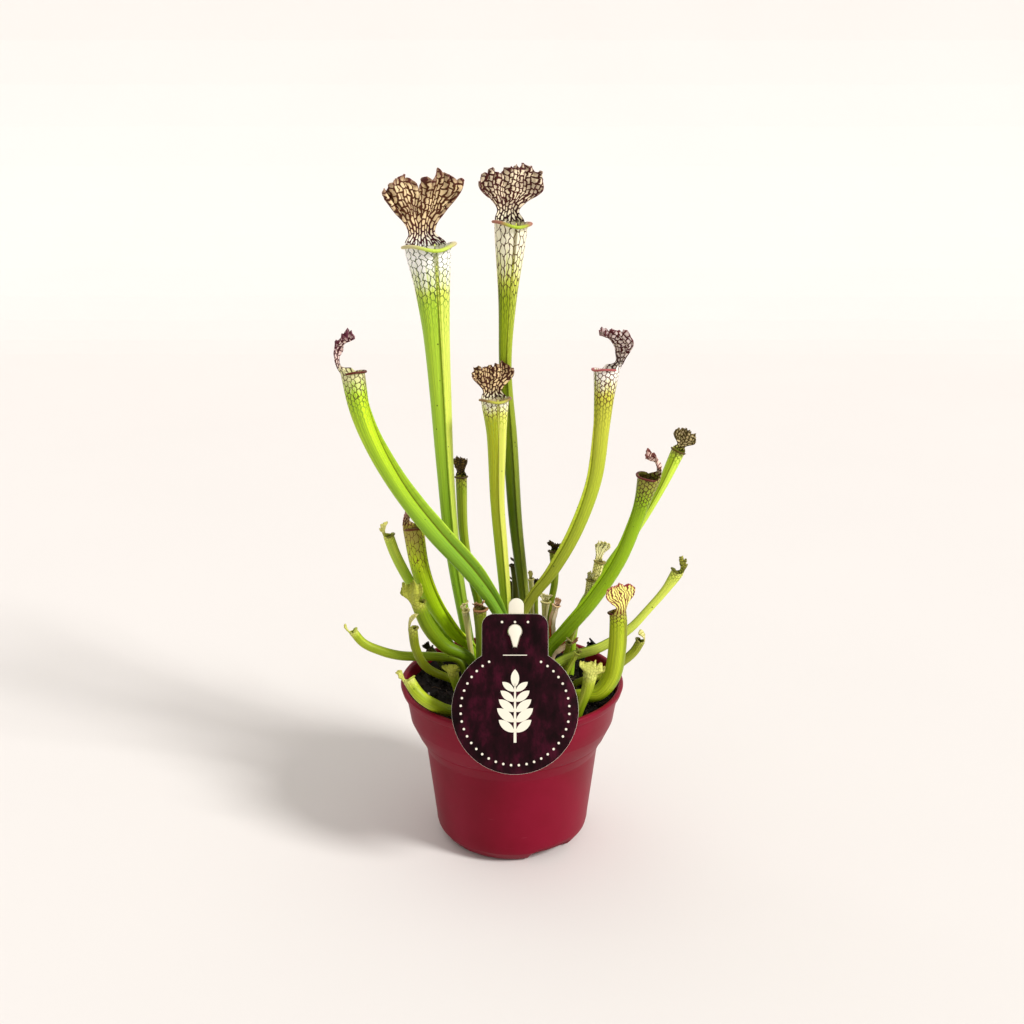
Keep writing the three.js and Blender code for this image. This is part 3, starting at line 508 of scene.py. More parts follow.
@dataclass(frozen=True)
class Hood:
    """The lid of a pitcher, which rises from the back of the mouth and fans out."""

    rise: float
    neck: float
    fan: float
    lean: float
    ruffle: float
    waves: float
    tilt: float = 0.0
    skew: float = 0.0
    crimp: float = 1.0
    outline: tuple[Point2, ...] = ()
    bow: float = 0.015
    open_at: float = 0.85

    NECK_AT = 0.2
    VEIN_PITCH = 1.5
    LOBE, LOBE_RATE = 0.07, 4.5
    TOOTH, TOOTH_RATE = 0.09, 9.5

    @property
    def veins(self) -> int:
        """Counts the main veins from the neck's middle to its side."""
        return max(round(self.neck / 2 / self.VEIN_PITCH), 2)

    def reach(self, across: float, seed: float) -> float:
        """Gives how far the sheet reaches at a place across it, as a share of the rise.

        Args:
            across: from 1 at one side to -1 at the other.
            seed: tells one leaf's edge from another's.

        Returns:
            The share of the rise.
        """
        if self.outline:
            base = through(self.outline, across)
        else:
            base = 1 - 0.24 * across**2 + 0.05 * cos(3 * pi * across) * abs(across)
        lobes = self.LOBE * noise.noise(Vector((across * self.LOBE_RATE, seed, 0.0)))
        drift = 3.0 * noise.noise(Vector((across * 2.0, seed, 7.0)))
        teeth = self.TOOTH * abs(sin(self.TOOTH_RATE * across + drift)) - 0.04
        return base + self.crimp * (lobes + teeth)

    def spread(self, up: float, root: float) -> float:
        """Gives half the sheet's width, measured along the sheet."""
        if up < self.NECK_AT:
            return lerp(root, self.neck / 2, smooth(up / self.NECK_AT))
        return lerp(self.neck / 2, self.fan / 2, smooth(up, self.NECK_AT, self.open_at))


@dataclass(frozen=True)
class LeafShape:
    """One pitcher leaf: its tube from the peat to the mouth, its lip, its wing and its hood."""

    name: str
    size: Size
    leafage: Leafage
    front: Point3
    lip: float
    path: tuple[tuple[float, float, float, float], ...]
    hood: Hood
    spout: float = 0.0
    wing: float = 0.0
    net: Point2 = (1.5, 7.0)
    crumple: float = 0.0


def curve(start: float | Vector, end: float | Vector, slopes: tuple, share: float) -> float | Vector:
    """Runs along a cubic curve.

    Args:
        start: where it starts.
        end: where it ends.
        slopes: how steeply it leaves the start and reaches the end.
        share: how much of the way is run.

    Returns:
        The value or point there.
    """
    leave, arrive = slopes
    square, cube = 3 * (end - start) - 2 * leave - arrive, 2 * (start - end) + leave + arrive
    return start + leave * share + square * share**2 + cube * share**3


class TubeRun:
    """The line that a tube follows, with a radius and a frame of directions at every place on it."""

    MEASURES = 120

    def __init__(self, stations: Sequence[tuple[float, float, float, float]], facing: Point3) -> None:
        """Takes the stations in.

        Args:
            stations: x, y, z and radius at a few places from the root to the mouth.
            facing: the way the mouth faces.
        """
        points = [Vector(station[:3]) for station in stations]
        self.radii = [station[3] for station in stations]
        self.facing = Vector(facing)
        self.guides = [points[0] * 2 - points[1], *points, points[-1] * 2 - points[-2]]
        marks = [self.point(k / self.MEASURES) for k in range(self.MEASURES + 1)]
        self.length = sum((b - a).length for a, b in zip(marks, marks[1:]))

    def find(self, share: float) -> tuple[int, float]:
        """Finds the stretch between stations that holds a place, and the place's share of it."""
        place = min(max(share, 0.0), 1.0) * (len(self.radii) - 1)
        index = min(int(place), len(self.radii) - 2)
        return index, place - index

    def point(self, share: float) -> Vector:
        """Gives the point at a share of the way, on a centripetal curve through the stations."""
        index, part = self.find(share)
        a, b, c, d = self.guides[index : index + 4]
        first, gap, last = (max((q - p).length ** 0.5, 1e-4) for p, q in ((a, b), (b, c), (c, d)))
        leave = ((b - a) / first - (c - a) / (first + gap) + (c - b) / gap) * gap
        arrive = ((c - b) / gap - (d - b) / (gap + last) + (d - c) / last) * gap
        return curve(b, c, (leave, arrive), part)

    def radius(self, share: float) -> float:
        """Gives the tube's radius at a share of the way, with no kink at a station."""
        index, part = self.find(share)
        before, after = self.radii[max(index - 1, 0)], self.radii[min(index + 2, len(self.radii) - 1)]
        start, end = self.radii[index], self.radii[index + 1]
        return curve(start, end, ((end - before) / 2, (after - start) / 2), part)

    def directions(self, share: float) -> tuple[Vector, Vector, Vector]:
        """Gives the directions along the tube, to its front and to its side."""
        along = (self.point(share + 1e-3) - self.point(share - 1e-3)).normalized()
        front = (self.facing - along * self.facing.dot(along)).normalized()
        return along, front, along.cross(front)


@dataclass
class Spot:
    """A place on a leaf's sheet, and what its finish needs to know there."""

    point: Vector
    net: Point2
    pitch: float
    link: float
    height: float
    side: float
    front: float
    top: float = 1.0
    margin: float = 0.0
    lip: float = 0.0


class PitcherLeaf:
    """Models one pitcher leaf as a rolled sheet, whose back runs on into the hood."""

    LIP_ROWS = 7
    ROLL = radians(250)
    VEIN_PITCH = 3.3
    TUBE_LINK = 6.0
    HOOD_LINK = 3.6
    WALL = 0.42
    WING_ROUND = 10
    WING_ROWS = 60
    WING_HALF = 0.32
    WING_SUNK = 0.3
    FRILL = (7.5, 1.5, 5)
    CRISP = (19.0, 3.0, 9)
    WHOLE_CELL = 12.0
    SEED_STEP = 0.37
    WELD = 1e-5

    def __init__(self, shape: LeafShape) -> None:
        """Takes the leaf's shape in.

        Args:
            shape: the leaf's sizes.
        """
        self.shape = shape
        self.grade: Grade = shape.size.value
        self.run = TubeRun(shape.path, shape.front)
        self.seed = sum(map(ord, shape.name)) * self.SEED_STEP
        self.mouth_row = 1 + self.grade.tube_rows
        self.mouth = self.run.radius(1.0)
        self.cell = (self.mouth / self.WHOLE_CELL) ** 0.6
        self.veins = self.mouth / (self.VEIN_PITCH * self.cell)
        pane, line = shape.net
        self.fading = ((0.0, 1.0), (pane, 0.7), (line, 0.25), (1.7 * line, 0.0))

    def turn(self, column: int) -> float:
        """Gives a column's turn round the tube from its front, with narrow columns there."""
        inner = min(column, self.grade.columns - column)
        half = self.grade.root_half
        if inner <= self.grade.side:
            angle = (pi - half) * (inner / self.grade.side) ** 1.35
        else:
            angle = pi - half + half * (inner - self.grade.side) / (self.grade.hood / 2)
        return angle if column <= self.grade.columns / 2 else TAU - angle

    def dip(self, turn: float) -> float:
        """Gives how far the rim lies below the mouth's plane at a turn."""
        facing = 0.5 + 0.5 * cos(turn)
        return self.shape.spout * facing**8 + 0.12 * self.shape.spout * sin(2 * turn)

    def wall_point(self, share: float, turn: float, radius: float, lift: float) -> Vector:
        """Gives a point at a turn and radius round the tube's line, moved up along it by a lift."""
        along, front, side = self.run.directions(share)
        outward = front * cos(turn) + side * sin(turn)
        return self.run.point(share) + outward * radius + along * lift

    def tube_spot(self, row: int, turn: float) -> Spot:
        """Gives a spot on the tube.

        Args:
            row: 0 at the root's end, which lies in the peat, up to the mouth.
            turn: the turn from the front.

        Returns:
            The spot.
        """
        share = ((row - 1) / self.grade.tube_rows) ** 0.85 if row else 0.0
        radius = self.run.radius(share)
        below = (1 - share) * self.run.length
        round_it = Vector((cos(turn) * 1.2, sin(turn) * 1.2 + self.seed, share * 7))
        wobble = 0.02 * noise.noise(round_it)
        lift = -self.dip(turn) * smooth(share, 0.9, 1.0)
        point = self.wall_point(share, turn, radius * (1 + wobble), lift)
        if row == 0:
            point.z = ROOT_END
        link = self.TUBE_LINK * self.cell
        net = ((pi - turn) * self.veins, -below / link)
        front = min(turn, TAU - turn) / pi
        top = through(self.fading, below)
        return Spot(point, net, radius / self.veins, link, share, sin(turn), front, top)

    def lip_spot(self, row: int, turn: float) -> Spot:
        """Gives a spot on the lip, which rolls outward and down from the mouth."""
        facing = 0.5 + 0.5 * cos(turn)
        from_hood = pi - self.grade.root_half - min(turn, TAU - turn)
        roll = 0.6 * self.shape.lip * (0.35 + 0.65 * smooth(facing * 1.6))
        roll *= 0.2 + 0.8 * smooth(from_hood / 0.5)
        angle = pi - self.ROLL * row / self.LIP_ROWS
        lift = 0.42 * roll * sin(angle) - self.dip(turn)
        spot = self.tube_spot(self.mouth_row, turn)
        spot.point = self.wall_point(1.0, turn, self.mouth + roll * (1 + cos(angle)), lift)
        spot.lip = smooth(row / 2)
        return spot

    def hood_spot(self, row: int, across: float) -> Spot:
        """Gives a spot on the hood.

        Args:
            row: 0 at the mouth, up to the hood's edge.
            across: from 1 at one side of the hood to -1 at the other.

        Returns:
            The spot.
        """
        hood, half = self.shape.hood, self.grade.root_half
        share = row / self.grade.hood_rows
        up = hood.reach(across, self.seed) * share**1.15
        radius = self.mouth - self.WALL / 2
        spread = hood.spread(up, radius * half)
        curl = lerp(1 / radius, hood.bow, smooth(up / 0.55)) or 1e-6
        start, sweep = radians(-hood.tilt), radians(hood.tilt + hood.lean)
        bend = start + sweep * up
        edge = max(share, abs(across) * smooth(up, 0.15, 0.5))
        wave = hood.ruffle * up**1.5 * sin(hood.waves * pi * across + 0.6)
        frill, crisp = (
            noise.noise(Vector((across * rate, share * climb, self.seed + shift))) * edge**power
            for (rate, climb, power), shift in ((self.FRILL, 0), (self.CRISP, 5)))
        wave += hood.crimp * hood.ruffle * (2.0 * frill + 1.5 * crisp)
        wave -= 0.5 * hood.ruffle * smooth(share, 0.86, 1.0)
        angle = across * spread * curl
        inward = (1 - cos(angle)) / curl + wave
        ahead = -radius + hood.rise / sweep * (cos(start) - cos(bend)) + inward * cos(bend)
        climb = hood.rise / sweep * (sin(bend) - sin(start)) - inward * sin(bend)
        aside = sin(angle) / curl + hood.skew * up + 0.35 * hood.ruffle * frill
        along, front, side = self.run.directions(1.0)
        point = self.run.point(1.0) + side * aside + front * ahead + along * climb
        veins = lerp(self.veins * half, hood.veins, smooth(up / 0.15))
        link = self.HOOD_LINK * self.cell
        net = (across * veins, up * hood.rise / link)
        margin = max(smooth(share, 0.9, 1.0), smooth(abs(across), 0.93, 1.0) * smooth(up, 0.3, 0.6))
        return Spot(point, net, spread / veins, link, 1 + up, sin(across * half), 1.0, 1.0, margin)

    def spot(self, column: int, row: int) -> Spot:
        """Gives the spot of one crossing of the sheet's grid."""
        turn, over = self.turn(column), row - self.mouth_row
        if over <= 0:
            return self.tube_spot(row, turn)
        across = (pi - turn) / self.grade.root_half
        if abs(across) <= 1.0001:
            return self.hood_spot(over, across)
        return self.lip_spot(min(over, self.LIP_ROWS), turn)

    def sheet(self) -> BMesh:
        """Rolls a flat grid into the tube, the lip and the hood.

        Returns:
            The sheet, open at the mouth and without thickness.
        """
        columns, side = self.grade.columns, self.grade.side
        rows = self.mouth_row + self.grade.hood_rows
        bm = bmesh.new()
        bmesh.ops.create_grid(bm, x_segments=columns, y_segments=rows, size=1.0)
        layers = {name: bm.verts.layers.float.new(name) for name in MARKS}
        net = bm.loops.layers.uv.new(NET_MAP)
        cells = {v: (round((v.co.x + 1) / 2 * columns), round((v.co.y + 1) / 2 * rows)) for v in bm.verts}
        spots = {vert: self.spot(*cell) for vert, cell in cells.items()}
        spare = []
        for face in bm.faces:
            left, low = (min(cells[vert][k] for vert in face.verts) for k in (0, 1))
            over = low - self.mouth_row
            in_hood = side <= left < columns - side
            beside = left in (side - 1, columns - side)
            if over >= 0 and not in_hood and (over >= self.LIP_ROWS or (beside and over > 0)):
                spare.append(face)
            for loop in face.loops:
                x, y = spots[loop.vert].net
                loop[net].uv = (0.5 + x / NET_SPAN, 0.5 + y / NET_SPAN)
        for vert, spot in spots.items():
            vert.co = spot.point
            for name, layer in layers.items():
                vert[layer] = getattr(spot, name)
        bmesh.ops.delete(bm, geom=spare, context="FACES")
        bmesh.ops.remove_doubles(bm, verts=bm.verts, dist=self.WELD)
        self.face_outward(bm)
        return bm

    def face_outward(self, bm: BMesh) -> None:
        """Turns the sheet's faces so that the tube's face away from its line."""
        bm.normal_update()
        middle = self.run.point(0.5)
        nearest = min(bm.faces, key=lambda face: (face.calc_center_median() - middle).length)
        if nearest.normal.dot(nearest.calc_center_median() - middle) < 0:
            bmesh.ops.reverse_faces(bm, faces=bm.faces)

    def add_wing(self, bm: BMesh) -> None:
        """Adds the thin wing that runs down the front of the tube."""
        wing = bmesh.new()
        layers = {name: wing.verts.layers.float.new(name) for name in MARKS}
        net = wing.loops.layers.uv.new(NET_MAP)
        bmesh.ops.create_grid(wing, x_segments=self.WING_ROUND, y_segments=self.WING_ROWS, size=1.0)
        for vert in wing.verts:
            share, turn = (vert.co.y + 1) / 2, pi * (vert.co.x + 1)
            stand = self.shape.wing * smooth(share / 0.5) * smooth((1 - share) / 0.6)
            stand *= 1 + 0.07 * noise.noise(Vector((share * 14, self.seed, 0.0)))
            low, high = self.run.radius(share) - self.WING_SUNK, self.run.radius(share) + stand
            _, front, side = self.run.directions(share)
            out = (low + high) / 2 + (high - low) / 2 * cos(turn)
            vert.co = self.run.point(share) + front * out + side * (self.WING_HALF * sin(turn))
            top = 0.6 * through(self.fading, (1 - share) * self.run.length)
            fore = 0.015 + 0.14 * (0.5 + 0.5 * cos(turn))
            for name, mark in zip(MARKS, (3.0, 5.0, share, 0.5 + 0.5 * sin(turn), fore, top)):
                vert[layers[name]] = mark
        bmesh.ops.remove_doubles(wing, verts=wing.verts, dist=self.WELD)
        rims = [edge for edge in wing.edges if edge.is_boundary]
        bmesh.ops.holes_fill(wing, edges=rims, sides=self.WING_ROUND)
        bmesh.ops.recalc_face_normals(wing, faces=wing.faces)
        for face in wing.faces:
            for loop in face.loops:
                loop[net].uv = (0.5, 0.5 - (1 - loop.vert[layers["height"]]) * 0.2)
        join(bm, wing)

    def build(self) -> Object:
        """Models the leaf in the place of its solid, riding on the plant's body.

        Returns:
            The finished leaf.
        """
        body = thickened(self.sheet(), self.WALL)
        if self.shape.wing:
            self.add_wing(body)
        if self.shape.crumple:
            crumple(body, self.shape.crumple, self.seed)
        name = self.shape.name
        return finished(f"pitcher_{name}", body, LEAF_PAINT[self.shape.leafage], f"leaf_{name}")


def linked(name: str, data: bpy.types.ID) -> Object:
    """Puts a new object into the scene."""
    made = bpy.data.objects.new(name, data)
    bpy.context.scene.collection.objects.link(made)
    return made


def meshed(name: str, bm: BMesh) -> Mesh:
    """Writes a shape to a new mesh and frees it."""
    mesh = bpy.data.meshes.new(name)
    bm.to_mesh(mesh)
    bm.free()
    return mesh


def join(bm: BMesh, other: BMesh) -> None:
    """Moves one shape into another and frees it."""
    mesh = meshed("joining", other)
    bm.from_mesh(mesh)
    bpy.data.meshes.remove(mesh)


def applied(blank: Object) -> BMesh:
    """Gives an object's shape with its modifiers applied, and removes the object."""
    mesh, shape = blank.data, bmesh.new()
    shape.from_mesh(blank.evaluated_get(bpy.context.evaluated_depsgraph_get()).to_mesh())
    bpy.data.objects.remove(blank)
    bpy.data.meshes.remove(mesh)
    return shape


def thickened(bm: BMesh, wall: float) -> BMesh:
    """Gives an open sheet its thickness, inward from its faces, with the second material inside.

    Args:
        bm: the sheet, which is freed.
        wall: the thickness.

    Returns:
        The closed shell.
    """
    sheet = linked("sheet", meshed("sheet", bm))
    for _ in range(2):
        sheet.data.materials.append(None)
    solidify = sheet.modifiers.new("Wall", "SOLIDIFY")
    solidify.thickness = wall
    solidify.offset = -1.0
    solidify.material_offset = 1
    return applied(sheet)


def crumple(bm: BMesh, depth: float, seed: float) -> None:
    """Shrivels a shape with soft noise of a given depth."""
    for vert in bm.verts:
        vert.co += depth * noise.noise_vector(vert.co * 0.35 + Vector((seed, 0.0, 0.0)))


def finished(
    name: str, bm: BMesh, paints: Sequence[Material], *nodes: str, flat: bool = False,
) -> Object:
    """Turns a shape in millimetres into a finished piece of the plant.

    Args:
        name: the piece's name.
        bm: the shape, which is freed.
        paints: its materials, in the order of its faces' material numbers.
        nodes: the solids that it stands for, which are hidden.
        flat: keeps the faces flat, for small broken bits.

    Returns:
        The object, riding on the plant's body.
    """
    bmesh.ops.scale(bm, vec=(MM, MM, MM), verts=bm.verts)
    for face in bm.faces:
        face.smooth = not flat
    piece = linked(name, meshed(name, bm))
    for paint in paints:
        piece.data.materials.append(paint)
    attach(piece, "root")
    if nodes:
        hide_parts(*nodes)
    LOG.info("%s: %d faces", name, len(piece.data.polygons))
    return piece


def arc(x: float, y: float, radius: float, start: float, end: float, steps: int) -> list[Point2]:
    """Gives the points of an arc, with its angles in degrees."""
    spokes = [polar(radius, radians(lerp(start, end, k / steps))) for k in range(steps + 1)]
    return [(x + across, y + up) for across, up in spokes]


def bevelled(bm: BMesh, least: float, width: float, material: int = -1, beyond: float = 0.0) -> None:
    """Rounds a shape's sharp edges.

    Args:
        bm: the shape.
        least: the least angle of an edge that is rounded.
        width: how wide the round is.
        material: the round's material number, or -1 for that of its faces.
        beyond: leaves out edges that start nearer to the axis than this.
    """
    sharp = [
        edge for edge in bm.edges
        if edge.is_manifold and edge.calc_face_angle() > least and edge.verts[0].co.xy.length >= beyond
    ]
    bmesh.ops.bevel(
        bm, geom=sharp, offset=width, segments=2, profile=0.5, affect="EDGES", clamp_overlap=True,
        material=material)


def plate(outlines: Sequence[Outline], thickness: float, bevel: float, rim: int = 0) -> BMesh:
    """Cuts a flat plate from its outline and those of its holes.

    Args:
        outlines: loops of x, y points, the outside first.
        thickness: how thick the plate is, below its face at z = 0.
        bevel: the round of the face's edges.
        rim: the material number of the edges.

    Returns:
        The plate.
    """
    bm = bmesh.new()
    edges = []
    for outline in outlines:
        verts = [bm.verts.new((x, y, 0.0)) for x, y in outline]
        edges += [bm.edges.new(pair) for pair in zip(verts, verts[1:] + verts[:1])]
    bmesh.ops.triangle_fill(bm, edges=edges, use_beauty=True, use_dissolve=False, normal=(0.0, 0.0, 1.0))
    grown = bmesh.ops.extrude_face_region(bm, geom=bm.faces[:])["geom"]
    moved = [item for item in grown if isinstance(item, BMVert)]
    bmesh.ops.translate(bm, vec=(0.0, 0.0, -thickness), verts=moved)
    bmesh.ops.recalc_face_normals(bm, faces=bm.faces)
    for face in bm.faces:
        face.material_index = rim if abs(face.normal.z) < 0.5 else 0
    bevelled(bm, 1.0, bevel, rim)
    return bm


@dataclass
class NurseryPot:
    """The thin-walled pot, turned round its axis.

    Its profile's points are a radius and a height each. The outside runs from the middle of the foot
    over the ring, the stepped shoulder and the tapered collar up to the lip, and the inside runs down
    from there to the middle of the floor.
    """

    outside: Outline = (
        (0.0, 0.0), (14.0, 0.0), (16.0, 2.5), (29.5, 2.5), (31.0, 0.0), (34.5, 0.0), (36.7, 1.2),
        (38.1, 2.6), (41.0, 6.5), (41.7, 9.5), (42.0, 13.0), (46.5, 51.3), (46.9, 53.5), (49.6, 59.4),
        (49.7, 60.2), (50.7, 60.9), (54.7, 69.7), (54.9, 70.2), (55.9, 76.5), (57.4, 84.9), (57.7, 85.4),
        (58.9, 85.7), (59.2, 86.4), (60.0, 89.1), (59.3, 90.0))
    inside: Outline = (
        (57.7, 90.0), (57.0, 89.1), (56.0, 84.5), (54.7, 76.5), (53.4, 70.2), (48.8, 60.2), (45.6, 53.5),
        (40.8, 13.0), (39.5, 10.0), (29.2, 8.2), (26.0, 3.7), (0.0, 3.7))
    ring: Point2 = (31.0, 34.5)
    collar: float = 55.9
    wall: float = 1.2
    foot: float = 42.0
    drains: int = 6
    drain_ring: float = 25.0
    drain_radius: float = 3.0
    drain_middle: float = 3.0
    round_from: float = 14.0
    round: float = 0.3
    notches: Point2 = (-57.0, 123.0)
    notch: Point3 = (25.0, 6.8, 3.0)
    steps: int = 192

    def notch_lift(self, x: float, y: float) -> float:
        """Gives how high the foot's edge is cut away at a place on it."""
        width, height, slope = self.notch
        lift = 0.0
        for middle in self.notches:
            off = degrees(atan2(y, x)) - middle
            along = abs((off + 180) % 360 - 180) * pi / 180 * self.ring[1]
            lift = max(lift, height * min(max((width / 2 - along) / slope, 0.0), 1.0))
        return lift

    def shell(self) -> BMesh:
        """Turns the profile round the axis and cuts the foot's notches.

        Returns:
            The pot without its drain holes.
        """
        bm = bmesh.new()
        verts = [bm.verts.new((radius, 0.0, z)) for radius, z in (*self.outside, *self.inside)]
        edges = [bm.edges.new(pair) for pair in zip(verts, verts[1:])]
        bmesh.ops.spin(
            bm, geom=verts + edges, axis=(0, 0, 1), cent=(0, 0, 0), angle=TAU, steps=self.steps,
            use_merge=True)
        bmesh.ops.remove_doubles(bm, verts=bm.verts, dist=1e-4)
        bmesh.ops.recalc_face_normals(bm, faces=bm.faces)
        bevelled(bm, radians(self.round_from), self.round, beyond=10.0)
        for vert in bm.verts:
            if vert.co.xy.length > self.ring[0] - 1.6 and vert.co.z < self.notch[1]:
                vert.co.z = max(vert.co.z, self.notch_lift(vert.co.x, vert.co.y))
        return bm

    def drain_plugs(self) -> Object:
        """Makes the round plugs that the drain holes are cut with."""
        bm = bmesh.new()
        radius = self.drain_radius
        for k in range(self.drains):
            place = Matrix.Translation((*polar(self.drain_ring, TAU * k / self.drains), self.drain_middle))
            bmesh.ops.create_cone(
                bm, cap_ends=True, segments=28, radius1=radius, radius2=radius, depth=3 * self.drain_middle,
                matrix=place)
        return linked("drain_plugs", meshed("drain_plugs", bm))

    def build(self) -> Object:
        """Models the pot with its drain holes.

        Returns:
            The finished pot.
        """
        blank, plugs = linked("pot_shell", meshed("pot_shell", self.shell())), self.drain_plugs()
        cut = blank.modifiers.new("Drains", "BOOLEAN")
        cut.operation = "DIFFERENCE"
        cut.solver = "EXACT"
        cut.object = plugs
        bored = applied(blank)
        bpy.data.objects.remove(plugs)
        return finished("nursery_pot", bored, [self.plastic()], "pot")

    def plastic(self) -> Material:
        """Makes the pot's crimson plastic, with faint pale streaks, partly scuffs and partly painted sheen.
        """
        paint = Painter("crimson_plastic")
        cloud = paint.noise(paint.place(), 26.0, 4.0, 0.55)
        scuffs_and_sheen = paint.noise(paint.place((30.0, 30.0, 260.0)), 3.0, 3.0, 0.6)
        paint.body = paint.blend(paint.step(cloud, 0.3, 0.7), "74081f", "800c28")
        # Pale streaks: partly scuffs and partly painted highlight.
        paint.coat(paint.step(scuffs_and_sheen, 0.68, 0.8, 0.0, 0.22), "b05c6c")
        relief = paint.plus(paint.noise(paint.place(), 1500.0), paint.times(scuffs_and_sheen, 0.4))
        return paint.shade(
            Roughness=paint.step(cloud, 0.25, 0.75, 0.36, 0.47), Normal=paint.bump(relief, 0.00005, 0.5),
            Specular_IOR_Level=0.1)


@dataclass
class PeatBed:
    """The peat that fills the pot, with a lumpy top, crumbs, fibres and a few pale bits of grit."""

    pot: NurseryPot
    gap: float = 0.3
    bump: float = 0.9
    heap: float = 5.5
    heap_ring: Point2 = (44.0, 54.0)
    rings: int = 46
    spokes: int = 132
    crumbs: int = 900
    grits: int = 26
    fibres: int = 60
    seed: int = 11

    @property
    def edge(self) -> float:
        """Gives the radius of the bed's top."""
        return self.pot.collar - self.pot.wall - self.gap + 0.8

    def level(self, x: float, y: float) -> float:
        """Gives the height of the peat's top."""
        lump = sin(0.33 * x + 1.1) * cos(0.29 * y) - 0.25 * sin(0.7 * y)
        clods = noise.fractal(Vector((x * 0.22, y * 0.22, 3.0)), 0.9, 2.1, 5)
        heaped = self.heap * smooth(hypot(x, y), *self.heap_ring)
        return SOIL_TOP + self.bump * lump + heaped + 0.9 * clods

    @staticmethod
    def grow(bm: BMesh, ring: Sequence[BMEdge]) -> tuple[list[BMVert], list[BMEdge]]:
        """Extrudes a ring of edges, and gives the new ring's corners and edges."""
        grown = bmesh.ops.extrude_edge_only(bm, edges=ring)["geom"]
        verts = [item for item in grown if isinstance(item, BMVert)]
        edges = [item for item in grown if isinstance(item, BMEdge)]
        return verts, [edge for edge in edges if all(vert in verts for vert in edge.verts)]

    def bed(self) -> BMesh:
        """Models the bed as one closed body, from its lumpy top down to the pot's floor.

        Returns:
            The bed.
        """
        bm = bmesh.new()
        bmesh.ops.create_circle(bm, cap_ends=False, segments=self.spokes, radius=self.edge)
        ring = bm.edges[:]
        for k in range(1, self.rings):
            verts, ring = self.grow(bm, ring)
            share = (self.rings - k) / (self.rings + 1 - k)
            bmesh.ops.scale(bm, vec=(share, share, 1.0), verts=verts)
        bmesh.ops.contextual_create(bm, geom=ring)
        for vert in bm.verts:
            vert.co.z = self.level(vert.co.x, vert.co.y)
        skirt = [edge for edge in bm.edges if edge.is_boundary]
        for radius, z in self.pot.inside[3:]:
            verts, skirt = self.grow(bm, skirt)
            for vert in verts:
                flat = vert.co.xy.normalized() * max(radius - self.gap, 6.0)
                vert.co = (flat.x, flat.y, z + (self.gap if radius < self.pot.foot - 2 else 0.0))
        bmesh.ops.contextual_create(bm, geom=skirt)
        bmesh.ops.recalc_face_normals(bm, faces=bm.faces)
        return bm

    def strew(self, margin: float, pick: random.Random) -> Point2:
        """Picks a place on the bed by chance, clear of its edge by a margin."""
        turn = pick.uniform(0, TAU)
        return polar((self.edge - margin) * sqrt(pick.random()), turn)

    def scatter(self, count: int, sizes: Point2, sink: float, pick: random.Random) -> BMesh:
        """Strews broken bits over the bed.

        Args:
            count: how many.
            sizes: their least and greatest radius.
            sink: how deep they lie, as a share of their radius.
            pick: the source of chance.

        Returns:
            The bits.
        """
        bm = bmesh.new()
        for _ in range(count):
            x, y = self.strew(1.5, pick)
            size = pick.uniform(*sizes) * pick.uniform(0.6, 1.0)
            angle = pick.uniform(0, 6.3)
            spin = Matrix.Rotation(angle, 4, Vector((pick.random(), pick.random(), 0.3)).normalized())
            long, thick = pick.uniform(0.7, 1.4), pick.uniform(0.5, 0.9)
            squash = Matrix.Diagonal((size * long, size, size * thick, 1.0))
            place = Matrix.Translation((x, y, self.level(x, y) + size * (0.5 - sink)))
            made = bmesh.ops.create_icosphere(bm, subdivisions=1, radius=1.0, matrix=place @ spin @ squash)
            for vert in made["verts"]:
                vert.co += size * 0.3 * noise.noise_vector(vert.co * 1.7)
        return bm

    def threads(self, pick: random.Random) -> BMesh:
        """Lays short bent fibres on the peat."""
        bm = bmesh.new()
        for _ in range(self.fibres):
            start = Vector((*self.strew(6.0, pick), 0.0))
            heading, bow = pick.uniform(0, TAU), pick.uniform(-0.5, 0.5)
            thick = pick.uniform(0.14, 0.3)
            ring = bmesh.ops.create_circle(bm, cap_ends=True, segments=4, radius=thick)["verts"]
            across = Matrix.Rotation(pi / 2, 3, Vector((-sin(heading), cos(heading), 0.0)))
            start.z = self.level(start.x, start.y) + thick
            bmesh.ops.rotate(bm, cent=(0, 0, 0), matrix=across, verts=ring)
            bmesh.ops.translate(bm, vec=start, verts=ring)
            face = ring[0].link_faces[0]
            for _ in range(5):
                face = bmesh.ops.extrude_discrete_faces(bm, faces=[face])["faces"][0]
                heading += bow
                ahead = start + Vector((*polar(1.0, heading), 0.0)) * pick.uniform(1.0, 1.8)
                ahead.z = self.level(ahead.x, ahead.y) + thick + pick.uniform(0.0, 0.5)
                bmesh.ops.translate(bm, vec=ahead - start, verts=face.verts)
                start = ahead
        return bm

    def build(self) -> None:
        """Models the bed and what lies on it, with the same chances each time."""
        pick = random.Random(self.seed)
        peat = self.peat()
        finished("peat_bed", self.bed(), [peat], "soil")
        loose = {
            "peat_crumbs": (self.scatter(self.crumbs, (0.5, 1.9), 0.2, pick), peat),
            "pale_grit": (self.scatter(self.grits, (0.4, 1.1), 0.0, pick), self.grit()),
            "peat_fibres": (self.threads(pick), self.fibre()),
        }
        for name, (bm, paint) in loose.items():
            finished(name, bm, [paint], flat=True)

    def peat(self) -> Material:
        """Makes the wet, near-black peat."""
        paint = Painter("wet_peat")
        clods = paint.noise(paint.place(), 240.0, 5.0, 0.7)
        paint.body = paint.ramp(clods, {0.3: "090706", 0.55: "17110e", 0.8: "36281f"})
        return paint.shade(
            Roughness=paint.step(clods, 0.3, 0.7, 0.55, 0.95), Normal=paint.bump(clods, 0.0012, 0.9),
            Specular_IOR_Level=0.12)

    def grit(self) -> Material:
        """Makes the pale grit."""
        paint = Painter("pale_grit")
        cloud = paint.noise(paint.place(), 900.0, 3.0)
        paint.body = paint.blend(paint.step(cloud, 0.3, 0.7), "969084", "d6d0c4")
        return paint.shade(Roughness=0.9, Normal=paint.bump(cloud, 0.0003, 0.6))

